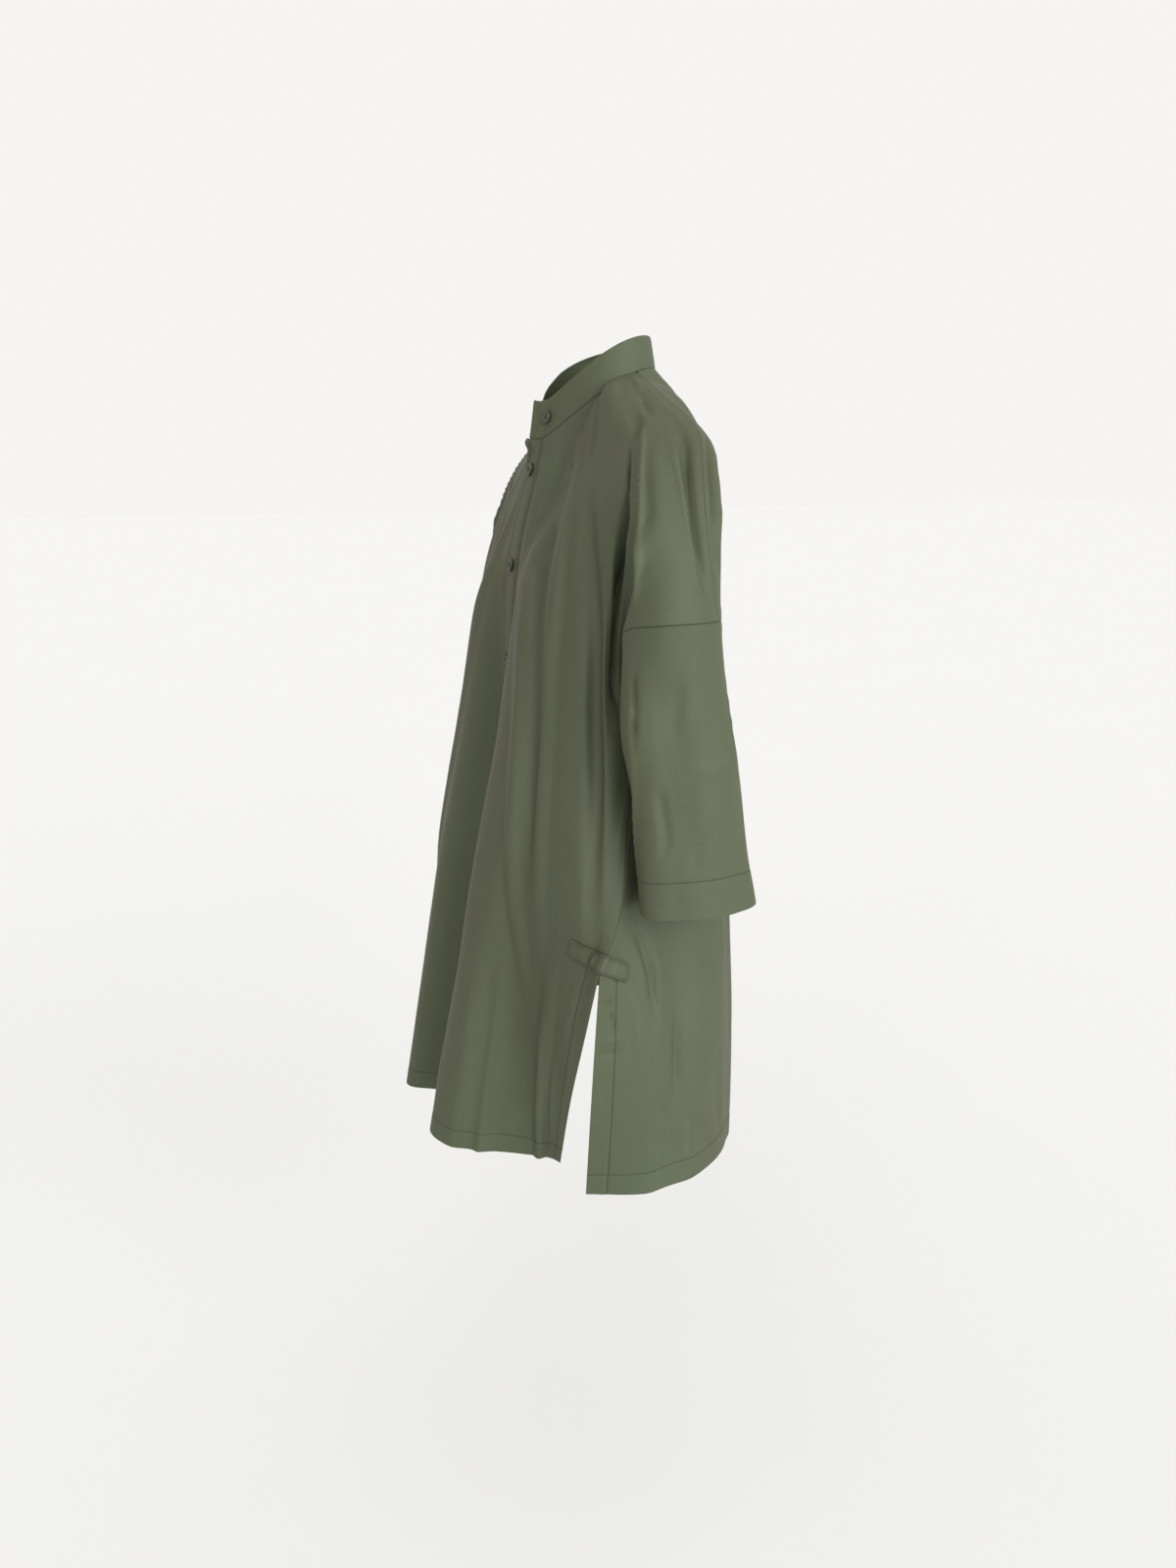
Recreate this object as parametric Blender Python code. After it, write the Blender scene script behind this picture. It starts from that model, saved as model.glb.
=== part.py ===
"""Band-collared overshirt in its worn form, cut and sewn from separate panels.

The origin is the middle of the neck, a little below the back neck seam. +X is the wearer's left,
-Y is the front and +Z is up. Each panel is a wall of cloth made over a grid: u runs across the panel,
from the centre line (0) to the outer edge (1, or -1 on the wearer's right), and v runs down it,
from the neck and shoulder (0) to the hem (1).
"""

import math
from collections import namedtuple

import bmesh
import bpy
import numpy as np
from mathutils import Matrix, Vector

# ---------------------------------------------------------------- sizes, in metres
CLOTH = 0.0012  # one layer of poplin, as thick as a wall is built
PLACKET_CLOTH = 0.0016  # folded and fused placket, band and tab
SEAM_GAP = 0.0003
NECK_HALF_WIDTH = 0.075
NECK_HALF_DEPTH = 0.069
NECK_BACK_LEVEL = 0.009
NECK_FRONT_LEVEL = -0.067
NECK_FRONT_NARROWING = 0.40  # the neck hole is egg-shaped, narrower at the front
NECK_SIDE_ANGLE = math.radians(17.5)  # where the shoulder seam meets the neck
BAND_HEIGHT_FRONT, BAND_HEIGHT_BACK = 0.043, 0.035
BAND_LEAN = 0.006  # the band's top edge lies this much nearer the neck
PLACKET_HALF_WIDTH = 0.0175
PLACKET_LAP = 0.0022  # the upper placket lies this far out and the lower one this far in
BUTTON_RADIUS = 0.0074
BUTTON_THICKNESS = 0.0030
BUTTON_RIM = 0.0016
BUTTON_DISH = 0.0009
BUTTON_LIFT = 0.0006
FIRST_BUTTON_LEVEL = -0.102  # on the placket; the one above it is on the band
BUTTON_SPACING = 0.110
PLACKET_BUTTONS = 6
LEAN_FROM, LEAN_TO, LEAN = -0.15, -0.88, 0.048  # the front hangs over to the wearer's left
NECK_TILT = 0.08  # the wearer's left side of the neck hole is the higher one
NECK_TILT_ENDS, NECK_TILT_REACH = 0.075, 0.10
ARM_BACK = 0.014  # the wearer's right arm hangs this much further back than the left
ARM_BACK_FROM, ARM_BACK_TO = 0.06, 0.20  # over these distances from the middle
ARM_BACK_FADES, ARM_BACK_ENDS = -0.55, -0.85
TAB_HALF_HEIGHT_V = 0.012  # in v: 18 mm of cloth from edge to edge
TAB_LIFT = 0.0030
TAB_BUNCH = 0.0040  # the tab's middle is drawn up into soft folds this deep
TAB_FOLDS = 3

# ---------------------------------------------------------------- where the grids are cut
FRONT_NECK_U, BACK_NECK_U = 0.30, 0.20
PLACKET_U = 0.038
PLACKET_FREE_U = 0.032  # a placket's free edge stops short of the opposite seam
TOP_EASE, EDGE_EASE = 0.10, 0.12  # a panel is led into its seams over these shares of v and u
UNDERARM_V, VENT_V = 0.28, 0.66
NECK_STEPS_FRONT, NECK_STEPS_BACK, SHOULDER_STEPS, PLACKET_STEPS = 7, 6, 16, 4
ARMHOLE_STEPS_FRONT, ARMHOLE_STEPS_BACK, SIDE_STEPS, VENT_STEPS = 12, 8, 10, 8
SLEEVE_STEPS, BAND_STEPS, TAB_STEPS, BUTTON_SIDES = 9, 2, 12, 20

# ---------------------------------------------------------------- seams, wearer's left
Place = namedtuple("Place", "at x y z")
SHOULDER_SEAM = (  # at: share of its length, from the neck to the end of the dropped shoulder
    Place(0.00, 0.0703, 0.0207, -0.0003),
    Place(0.15, 0.122, 0.030, -0.024),
    Place(0.30, 0.172, 0.038, -0.045),
    Place(0.43, 0.212, 0.033, -0.070),
    Place(0.57, 0.242, 0.022, -0.110),
    Place(0.75, 0.268, 0.016, -0.168),
    Place(1.00, 0.285, 0.022, -0.250),
)
ARMHOLE_FRONT = (  # at: share of its length, from the shoulder seam round the front of the arm
    Place(0.00, 0.285, 0.022, -0.250),
    Place(0.16, 0.303, -0.012, -0.249),
    Place(0.32, 0.297, -0.048, -0.250),
    Place(0.48, 0.266, -0.070, -0.256),
    Place(0.64, 0.236, -0.063, -0.270),
    Place(0.82, 0.214, -0.038, -0.295),
    Place(1.00, 0.207, -0.005, -0.320),
)
ARMHOLE_BACK = (
    Place(0.00, 0.285, 0.022, -0.250),
    Place(0.20, 0.264, 0.036, -0.252),
    Place(0.40, 0.237, 0.046, -0.262),
    Place(0.60, 0.216, 0.041, -0.282),
    Place(0.80, 0.207, 0.019, -0.304),
    Place(1.00, 0.207, -0.005, -0.320),
)
SIDE_SEAM = (  # at: v
    Place(0.28, 0.207, -0.005, -0.320),
    Place(0.33, 0.203, -0.018, -0.358),
    Place(0.38, 0.212, -0.034, -0.400),
    Place(0.48, 0.246, -0.060, -0.480),
    Place(0.58, 0.276, -0.081, -0.560),
    Place(0.66, 0.288, -0.110, -0.620),
)
VENT_FRONT = (
    Place(0.66, 0.288, -0.110, -0.620),
    Place(0.76, 0.274, -0.121, -0.700),
    Place(0.88, 0.249, -0.129, -0.792),
    Place(1.00, 0.223, -0.132, -0.885),
)
VENT_BACK = (
    Place(0.66, 0.288, -0.110, -0.620),
    Place(0.76, 0.290, -0.116, -0.700),
    Place(0.88, 0.289, -0.121, -0.792),
    Place(1.00, 0.286, -0.125, -0.888),
)

# ---------------------------------------------------------------- sections of the panels
FrontSection = namedtuple("FrontSection", "name v centre ridge cheek hollow swell pleat")
FRONT_STATIONS = (0.0, 0.15, 0.30, 0.45, 0.60, 0.78)
FRONT_LEAN = (1.0, 1.0, 1.0, 0.5, 0.25, 0.0)
FRONT = (
    FrontSection("yoke", 0.06, (0, -0.082, -0.115), (0.048, -0.061, -0.100),
                 (0.085, -0.025, -0.020), (0.135, -0.020, -0.040),
                 (0.195, -0.012, -0.068), (0.258, -0.022, -0.128)),
    FrontSection("chest", 0.13, (0, -0.097, -0.170), (0.052, -0.083, -0.158),
                 (0.096, -0.050, -0.080), (0.145, -0.046, -0.085),
                 (0.199, -0.046, -0.105), (0.252, -0.050, -0.152)),
    FrontSection("bust", 0.20, (0, -0.107, -0.225), (0.055, -0.113, -0.220),
                 (0.102, -0.081, -0.150), (0.150, -0.074, -0.145),
                 (0.199, -0.061, -0.157), (0.232, -0.046, -0.187)),
    FrontSection("underarm", 0.28, (0, -0.113, -0.285), (0.055, -0.129, -0.285),
                 (0.104, -0.112, -0.235), (0.152, -0.098, -0.225),
                 (0.202, -0.076, -0.235), (0.203, -0.046, -0.285)),
    FrontSection("waist", 0.42, (0, -0.120, -0.410), (0.055, -0.152, -0.410),
                 (0.105, -0.145, -0.385), (0.150, -0.126, -0.380),
                 (0.196, -0.104, -0.385), (0.224, -0.074, -0.396)),
    FrontSection("hip", 0.58, (0, -0.153, -0.560), (0.055, -0.190, -0.560),
                 (0.105, -0.182, -0.555), (0.150, -0.156, -0.550),
                 (0.200, -0.138, -0.550), (0.252, -0.116, -0.555)),
    FrontSection("thigh", 0.78, (0, -0.184, -0.715), (0.054, -0.222, -0.712),
                 (0.106, -0.212, -0.715), (0.145, -0.170, -0.715),
                 (0.187, -0.150, -0.715), (0.236, -0.137, -0.715)),
    FrontSection("hem", 1.00, (0, -0.215, -0.880), (0.053, -0.257, -0.880),
                 (0.107, -0.236, -0.885), (0.148, -0.194, -0.886),
                 (0.179, -0.160, -0.887), (0.206, -0.141, -0.886)),
)
BackSection = namedtuple("BackSection", "name v centre blade inner outer under")
BACK_STATIONS = (0.0, 0.20, 0.40, 0.60, 0.80)
BACK = (
    BackSection("yoke", 0.06, (0, 0.099, -0.042), (0.066, 0.077, -0.026),
                (0.144, 0.071, -0.062), (0.212, 0.049, -0.087), (0.252, 0.036, -0.150)),
    BackSection("chest", 0.13, (0, 0.115, -0.094), (0.070, 0.100, -0.082),
                (0.138, 0.084, -0.105), (0.196, 0.057, -0.135), (0.238, 0.045, -0.192)),
    BackSection("blade", 0.20, (0, 0.126, -0.155), (0.070, 0.112, -0.146),
                (0.134, 0.091, -0.165), (0.186, 0.068, -0.192), (0.220, 0.044, -0.228)),
    BackSection("underarm", 0.28, (0, 0.135, -0.225), (0.072, 0.122, -0.218),
                (0.134, 0.095, -0.238), (0.180, 0.072, -0.262), (0.196, 0.040, -0.300)),
    BackSection("waist", 0.42, (0, 0.142, -0.370), (0.075, 0.129, -0.370),
                (0.138, 0.108, -0.378), (0.188, 0.072, -0.388), (0.205, 0.018, -0.398)),
    BackSection("hip", 0.58, (0, 0.142, -0.550), (0.080, 0.132, -0.550),
                (0.152, 0.108, -0.552), (0.208, 0.072, -0.556), (0.231, -0.006, -0.560)),
    BackSection("vent", 0.66, (0, 0.141, -0.628), (0.084, 0.131, -0.628),
                (0.160, 0.107, -0.630), (0.222, 0.070, -0.632), (0.262, -0.016, -0.632)),
    BackSection("thigh", 0.78, (0, 0.140, -0.715), (0.090, 0.130, -0.715),
                (0.174, 0.104, -0.715), (0.244, 0.064, -0.716), (0.286, -0.020, -0.716)),
    BackSection("hem", 1.00, (0, 0.138, -0.885), (0.100, 0.127, -0.885),
                (0.194, 0.096, -0.886), (0.268, 0.056, -0.888), (0.309, -0.035, -0.890)),
)
# A fold is a soft ridge, or a trough where its depth is below 0. Past v = 1 it runs off the hem.
Fold = namedtuple("Fold", "name u_top v_top u_low v_low half_width depth")
FOLD_FADE = 0.30  # the share of its length over which a fold comes up at each end
FRONT_TURN, BACK_TURN = math.radians(65), math.radians(75)  # how far round a panel faces at its edge
FRONT_FOLDS = (
    Fold("left, off the collar", 0.12, 0.08, 0.54, 0.78, 0.055, 0.0060),
    Fold("left, beside it", 0.20, 0.10, 0.52, 0.62, 0.050, -0.0060),
    Fold("left, off the shoulder", 0.31, 0.10, 0.60, 0.70, 0.055, 0.0055),
    Fold("left, under the arm", 0.40, 0.09, 0.91, 0.66, 0.070, -0.0070),
    Fold("left, over the arm", 0.82, 0.05, 0.92, 0.34, 0.060, 0.0045),
    Fold("left, inner hem", 0.34, 0.62, 0.31, 1.20, 0.060, -0.0080),
    Fold("left, outer hem", 0.66, 0.60, 0.70, 1.25, 0.070, 0.0060),
    Fold("right, off the collar", -0.15, 0.07, -0.40, 0.80, 0.055, 0.0060),
    Fold("right, beside it", -0.24, 0.11, -0.52, 0.66, 0.055, -0.0065),
    Fold("right, off the shoulder", -0.36, 0.09, -0.66, 0.74, 0.060, 0.0060),
    Fold("right, under the arm", -0.46, 0.11, -0.90, 0.60, 0.065, -0.0065),
    Fold("right, over the arm", -0.80, 0.06, -0.91, 0.32, 0.060, 0.0045),
    Fold("right, inner hem", -0.30, 0.58, -0.26, 1.22, 0.060, -0.0070),
    Fold("right, outer hem", -0.62, 0.66, -0.58, 1.18, 0.065, -0.0070),
)
BACK_FOLDS = (
    Fold("left, off the neck", 0.13, 0.10, 0.20, 1.30, 0.070, 0.0070),
    Fold("left, blade", 0.24, 0.13, 0.34, 1.20, 0.060, -0.0075),
    Fold("left, outer", 0.42, 0.10, 0.50, 1.25, 0.070, 0.0065),
    Fold("left, under the arm", 0.60, 0.12, 0.64, 0.74, 0.070, -0.0070),
    Fold("left, beside the vent", 0.76, 0.56, 0.80, 1.12, 0.070, -0.0065),
    Fold("right, off the neck", -0.08, 0.12, -0.12, 1.25, 0.065, -0.0065),
    Fold("right, blade", -0.22, 0.11, -0.30, 1.28, 0.075, 0.0075),
    Fold("right, outer", -0.38, 0.13, -0.47, 1.15, 0.065, -0.0070),
    Fold("right, under the arm", -0.58, 0.10, -0.63, 0.80, 0.075, 0.0060),
    Fold("right, beside the vent", -0.72, 0.60, -0.78, 1.20, 0.070, -0.0065),
)
Crease = namedtuple("Crease", "name angle half_angle t_top t_low depth")
SLEEVE_CREASES = (  # angle: from the outside of the arm round towards its front, in degrees
    Crease("front edge", 66, 34, 0.02, 1.35, 0.0055),
    Crease("beside it", 22, 26, 0.05, 0.90, -0.0030),
    Crease("elbow", 128, 34, 0.20, 0.95, -0.0050),
    Crease("back edge", -62, 36, 0.10, 1.25, 0.0040),
    Crease("inner", -140, 36, 0.12, 0.85, -0.0040),
)
TabPoint = namedtuple("TabPoint", "at panel u v")
TAB = (  # along the middle of the left tab, over the top of the vent
    TabPoint(0.00, "front", 0.76, 0.636),
    TabPoint(0.28, "front", 0.88, 0.642),
    TabPoint(0.52, "front", 1.00, 0.647),
    TabPoint(0.76, "back", 0.965, 0.655),
    TabPoint(1.00, "back", 0.925, 0.664),
)
Ring = namedtuple("Ring", "name t x y half_x half_y outer_level inner_level")
RING_START = math.radians(48)  # the shoulder seam's end, seen from above
RING_UNDERARM = 0.64  # share of the way round at which the underarm lies
SLEEVE = (
    Ring("biceps", 0.28, 0.266, -0.016, 0.042, 0.059, -0.338, -0.384),
    Ring("elbow", 0.54, 0.272, -0.006, 0.043, 0.059, -0.420, -0.446),
    Ring("forearm", 0.78, 0.282, -0.002, 0.042, 0.061, -0.496, -0.508),
    Ring("cuff", 1.00, 0.290, 0.003, 0.042, 0.066, -0.556, -0.558),
)

COLOURS = {"cloth": (0.107, 0.122, 0.069, 1), "button": (0.03, 0.028, 0.018, 1)}


# ---------------------------------------------------------------- curves and surfaces
def ease(t):
    """A smooth step from 0 to 1."""
    t = np.clip(t, 0.0, 1.0)
    return t * t * (3 - 2 * t)


def smooth_curve(knots, values, at):
    """The smooth curve through one value at each knot, read at the places `at`."""
    knots, values = np.asarray(knots, float), np.asarray(values, float)
    at = np.clip(np.asarray(at, float), knots[0], knots[-1])
    shape = (-1,) + (1,) * (values.ndim - 1)
    steps = np.diff(knots).reshape(shape)
    slopes = np.diff(values, axis=0) / steps
    bends = (steps[1:] * slopes[:-1] + steps[:-1] * slopes[1:]) / (steps[1:] + steps[:-1])
    first = 1.5 * slopes[:1] - 0.5 * bends[:1]
    last = 1.5 * slopes[-1:] - 0.5 * bends[-1:]
    tangents = np.concatenate([first, bends, last])
    span = np.clip(np.searchsorted(knots, at, side="right") - 1, 0, len(knots) - 2)
    step = np.diff(knots)[span]
    t = ((at - knots[span]) / step).reshape(shape)
    step = step.reshape(shape)
    return (
        (2 * t**3 - 3 * t**2 + 1) * values[span]
        + (t**3 - 2 * t**2 + t) * step * tangents[span]
        + (3 * t**2 - 2 * t**3) * values[span + 1]
        + (t**3 - t**2) * step * tangents[span + 1]
    )


def along(places, at):
    """Points along a seam that is given by a few places."""
    return smooth_curve([p.at for p in places], [p[1:] for p in places], at)


def neckline(angle):
    """Points of the neck seam: -90 degrees is the centre front and 90 degrees the centre back."""
    y = NECK_HALF_DEPTH * np.sin(angle)
    forward = (NECK_HALF_DEPTH - y) / (2 * NECK_HALF_DEPTH)
    x = NECK_HALF_WIDTH * np.cos(angle) * (1 - NECK_FRONT_NARROWING * forward**3)
    z = NECK_BACK_LEVEL + (NECK_FRONT_LEVEL - NECK_BACK_LEVEL) * forward**2
    return np.stack([x, y, z], axis=-1)


def top_edge(u, neck_u, centre_angle):
    """Points of a panel's neck and shoulder edge for u from 0 to 1."""
    share = np.clip(u / neck_u, 0, 1)
    neck = neckline(centre_angle + (NECK_SIDE_ANGLE - centre_angle) * share)
    shoulder = along(SHOULDER_SEAM, np.clip((u - neck_u) / (1 - neck_u), 0, 1))
    return np.where((u <= neck_u)[:, None], neck, shoulder)


def outer_edge(v, armhole, vent):
    """Points of a panel's armhole, side seam and vent edge."""
    v = np.asarray(v, float)
    points = along(SIDE_SEAM, v)
    points = np.where((v < UNDERARM_V)[:, None], along(armhole, v / UNDERARM_V), points)
    return np.where((v > VENT_V)[:, None], along(vent, v), points)


def mirrored(points):
    return points * np.array([-1.0, 1.0, 1.0])


def settled(points):
    """Points with the neck tilted, and with the wearer's right arm and shoulder taken back a little."""
    near_neck = 1 - ease((np.abs(points[..., 0]) - NECK_TILT_ENDS) / NECK_TILT_REACH)
    raised = NECK_TILT * points[..., 0] * near_neck * (1 - ease(-points[..., 2] / NECK_TILT_REACH))
    points = points + raised[..., None] * np.array([0.0, 0.0, 1.0])
    side = ease((-points[..., 0] - ARM_BACK_FROM) / (ARM_BACK_TO - ARM_BACK_FROM))
    level = ease((points[..., 2] - ARM_BACK_ENDS) / (ARM_BACK_FADES - ARM_BACK_ENDS))
    back_by = ARM_BACK * side * level
    return points + back_by[..., None] * np.array([0.0, 1.0, 0.0])


def bump(off, half_width):
    """A rounded bump, 1 high in its middle and level with the cloth at its edges."""
    return (1 - np.clip(np.abs(off) / half_width, 0, 1) ** 2) ** 2


def grown(share):
    """How much of a fold's depth it has at a share of its length."""
    return ease(share / FOLD_FADE) * ease((1 - share) / FOLD_FADE)


def folded(points, us, vs, folds, turn, forward):
    """A panel's points with its soft folds raised along the way that the panel faces."""
    u, v = np.asarray(us)[None], np.asarray(vs)[:, None]
    height = np.zeros(points.shape[:2])
    for fold in folds:
        share = (v - fold.v_top) / (fold.v_low - fold.v_top)
        middle = fold.u_top + (fold.u_low - fold.u_top) * share
        height = height + fold.depth * grown(share) * bump(u - middle, fold.half_width)
    height = height * ease((1 - np.abs(u)) / EDGE_EASE)
    faces = np.stack([np.sin(turn * us), forward * np.cos(turn * us), 0 * us], axis=-1)
    return points + height[..., None] * faces[None]


def panel(us, vs, stations, sections, neck_u, centre_angle, armhole, vent, leans, placket=False):
    """Points of a panel, a row for each v and a column for each u, from -1 to 1."""
    knots_u = np.array(stations + (1.0,))
    knots_v = np.array((0.0,) + tuple(s.v for s in sections))
    net = np.array([s[2:] for s in sections], float)
    if placket:
        beside_centre = net[:, :1] + np.array([PLACKET_HALF_WIDTH, 0, 0])
        knots_u = np.insert(knots_u, 1, PLACKET_U)
        net = np.concatenate([net[:, :1], beside_centre, net[:, 1:]], axis=1)
        leans = leans[:1] + leans
    leaning = LEAN * ease((net[..., 2] - LEAN_FROM) / (LEAN_TO - LEAN_FROM)) * np.array(leans)
    shift = np.stack([leaning, 0 * leaning, 0 * leaning], axis=-1)
    edge = outer_edge(knots_v[1:], armhole, vent)[:, None]
    top = top_edge(knots_u, neck_u, centre_angle)[None]
    left = np.concatenate([top, np.concatenate([net + shift, edge], axis=1)])
    right = np.concatenate([top, np.concatenate([net - shift, edge], axis=1)])
    whole = np.concatenate([mirrored(right[:, :0:-1]), left], axis=1)
    both = np.concatenate([-knots_u[:0:-1], knots_u])
    rows = smooth_curve(knots_v, whole, vs).swapaxes(0, 1)
    top_fade = (1 - ease(np.asarray(vs) / TOP_EASE))[:, None, None]

    def below_top(at):
        """The net's smooth surface, led into the neck and shoulder seam at its top."""
        sides = np.where(at < 0, -1.0, 1.0)[:, None]
        wanted = top_edge(np.abs(at), neck_u, centre_angle)
        wanted = wanted * np.concatenate([sides, np.ones((len(at), 2))], axis=1)
        off = wanted - smooth_curve(both, whole[0], at)
        return smooth_curve(both, rows, at).swapaxes(0, 1) + top_fade * off

    points = below_top(us)
    for sign in (1.0, -1.0):
        wanted = outer_edge(vs, armhole, vent) * np.array([sign, 1, 1])
        off = wanted - below_top(np.array([sign]))[:, 0]
        points = points + off[:, None] * (1 - ease((1 - sign * us) / EDGE_EASE))[:, None]
    return points


def front(us, vs):
    points = panel(us, vs, FRONT_STATIONS, FRONT, FRONT_NECK_U, -math.pi / 2, ARMHOLE_FRONT,
                   VENT_FRONT, FRONT_LEAN, placket=True)
    return settled(folded(points, us, vs, FRONT_FOLDS, FRONT_TURN, -1))


def back(us, vs):
    points = panel(us, vs, BACK_STATIONS, BACK, BACK_NECK_U, math.pi / 2, ARMHOLE_BACK, VENT_BACK,
                   (0,) * len(BACK_STATIONS))
    return settled(folded(points, us, vs, BACK_FOLDS, BACK_TURN, 1))


def sleeve(around, down):
    """Points of the left sleeve: around from the shoulder seam past the front, down to the cuff."""
    turns = np.clip(around, 0, 1)
    to_front = np.clip(turns / RING_UNDERARM, 0, 1)
    to_back = np.clip((1 - turns) / (1 - RING_UNDERARM), 0, 1)
    in_front = (turns <= RING_UNDERARM)[:, None]
    armhole = np.where(in_front, along(ARMHOLE_FRONT, to_front), along(ARMHOLE_BACK, to_back))
    angle = RING_START - 2 * math.pi * turns
    rows = [armhole]
    for ring in SLEEVE:
        level = (ring.outer_level + ring.inner_level) / 2
        tilt = (ring.outer_level - ring.inner_level) / 2
        rows.append(np.stack([ring.x + ring.half_x * np.cos(angle),
                              ring.y + ring.half_y * np.sin(angle),
                              level + tilt * np.cos(angle)], axis=-1))
    points = smooth_curve((0.0,) + tuple(r.t for r in SLEEVE), rows, down)
    for crease in SLEEVE_CREASES:
        off = np.remainder(math.radians(crease.angle) + angle + math.pi, 2 * math.pi) - math.pi
        share = (down - crease.t_top) / (crease.t_low - crease.t_top)
        height = crease.depth * np.outer(grown(share), bump(off, math.radians(crease.half_angle)))
        points = points + height[..., None] * np.stack([np.cos(angle), np.sin(angle), 0 * angle], axis=-1)
    return points


# ---------------------------------------------------------------- walls of cloth
class Cloth:
    """A grid of points that becomes a wall, with the sides of the grid that are sewn."""

    def __init__(self, name, points, facing, sewn, thickness=CLOTH, round_trip=False):
        self.name, self.points, self.sewn = name, points, sewn
        self.thickness, self.round_trip = thickness, round_trip
        across = self.slope(points, 1, round_trip)
        down = self.slope(points, 0, False)
        normals = facing * np.cross(across, down)
        self.normals = normals / np.linalg.norm(normals, axis=-1, keepdims=True)

    @staticmethod
    def slope(points, axis, closed):
        if closed:
            return np.roll(points, -1, axis) - np.roll(points, 1, axis)
        return np.gradient(points, axis=axis)

    def rim(self):
        """Row and column of each point on the grid's sides."""
        rows, columns = self.points.shape[:2]
        for row in range(rows):
            for column in range(columns):
                at_end = not self.round_trip and column in (0, columns - 1)
                if row in (0, rows - 1) or at_end:
                    yield row, column

    def shrink(self):
        """Draws the sewn sides in by half the gap of a seam."""
        moved = self.points.copy()
        inward = {"top": (0, 1, 0), "bottom": (-1, -2, 0), "first": (0, 1, 1), "last": (-1, -2, 1)}
        for side in self.sewn:
            end, beside, axis = inward[side]
            ends, insides, normals, slopes = (
                np.take(a, i, axis=axis)
                for a, i in ((self.points, end), (self.points, beside), (self.normals, end),
                             (self.slope(self.points, 1 - axis, self.round_trip and not axis), end)))
            slopes = slopes / np.linalg.norm(slopes, axis=-1, keepdims=True)
            step = insides - ends
            for direction in (normals, slopes):
                step = step - (step * direction).sum(-1, keepdims=True) * direction
            step = step / np.linalg.norm(step, axis=-1, keepdims=True) * SEAM_GAP / 2
            if axis:
                moved[:, end] += step
            else:
                moved[end] += step
        return moved

    def build(self, material):
        middle = self.shrink()
        rows, columns = middle.shape[:2]
        half = self.normals * self.thickness / 2
        mesh = bmesh.new()
        outer, inner = (
            [[mesh.verts.new(p) for p in row] for row in middle + sign * half] for sign in (1, -1))
        last = columns if self.round_trip else columns - 1
        for row in range(rows - 1):
            for column in range(last):
                beyond = (column + 1) % columns
                for skin in (outer, inner):
                    mesh.faces.new((skin[row][column], skin[row][beyond],
                                    skin[row + 1][beyond], skin[row + 1][column]))
        for row, within in ((0, 1), (rows - 1, rows - 2)):
            for column in range(last):
                beyond = (column + 1) % columns
                close_rim(mesh, outer[row][column], outer[row][beyond], inner[row][beyond],
                          inner[row][column], outer[within][column].co)
        if not self.round_trip:
            for column, within in ((0, 1), (columns - 1, columns - 2)):
                for row in range(rows - 1):
                    close_rim(mesh, outer[row][column], outer[row + 1][column],
                              inner[row + 1][column], inner[row][column], outer[row][within].co)
        bmesh.ops.recalc_face_normals(mesh, faces=mesh.faces)
        return add_object(self.name, mesh, material)


def close_rim(mesh, outer, outer_next, inner_next, inner, within):
    """Closes one step of a wall's rim with two triangles that are folded away from its seam."""
    falling = ((outer.co + inner_next.co) / 2 - within).length
    rising = ((outer_next.co + inner.co) / 2 - within).length
    if falling < rising:
        mesh.faces.new((outer, outer_next, inner_next))
        mesh.faces.new((outer, inner_next, inner))
    else:
        mesh.faces.new((outer, outer_next, inner))
        mesh.faces.new((outer_next, inner_next, inner))


def share_normals(pieces):
    """Gives pieces that meet at a seam one direction of thickness there, so that they don't cross."""
    sums = {}
    for piece in pieces:
        for row, column in piece.rim():
            key = tuple(np.round(piece.points[row, column], 5))
            sums[key] = sums.get(key, 0) + piece.normals[row, column]
    for piece in pieces:
        for row, column in piece.rim():
            total = sums[tuple(np.round(piece.points[row, column], 5))]
            piece.normals[row, column] = total / np.linalg.norm(total)


def add_object(name, mesh, material):
    data = bpy.data.meshes.new(name)
    mesh.to_mesh(data)
    mesh.free()
    data.materials.append(material)
    data.shade_smooth()
    data.set_sharp_from_angle(angle=math.radians(50))
    thing = bpy.data.objects.new(name, data)
    bpy.context.scene.collection.objects.link(thing)
    return thing


def finish(name, colour, roughness):
    material = bpy.data.materials.new(name)
    material.use_nodes = True
    shader = material.node_tree.nodes["Principled BSDF"]
    shader.inputs["Base Color"].default_value = colour
    shader.inputs["Roughness"].default_value = roughness
    return material


# ---------------------------------------------------------------- the cuts
def steps(start, end, count):
    return np.linspace(start, end, count + 1)


def joined(*runs):
    """Runs of places put end to end, with each shared end kept once."""
    return np.concatenate([runs[0]] + [run[1:] for run in runs[1:]])


def lap(us):
    """How far out the upper placket lies at u: level with the left front where it is sewn to it."""
    return PLACKET_LAP * ease((PLACKET_U - us) / (0.8 * PLACKET_U))


def outward(points, distance):
    return points - np.asarray(distance)[..., None] * np.array([0.0, 1.0, 0.0])


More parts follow.
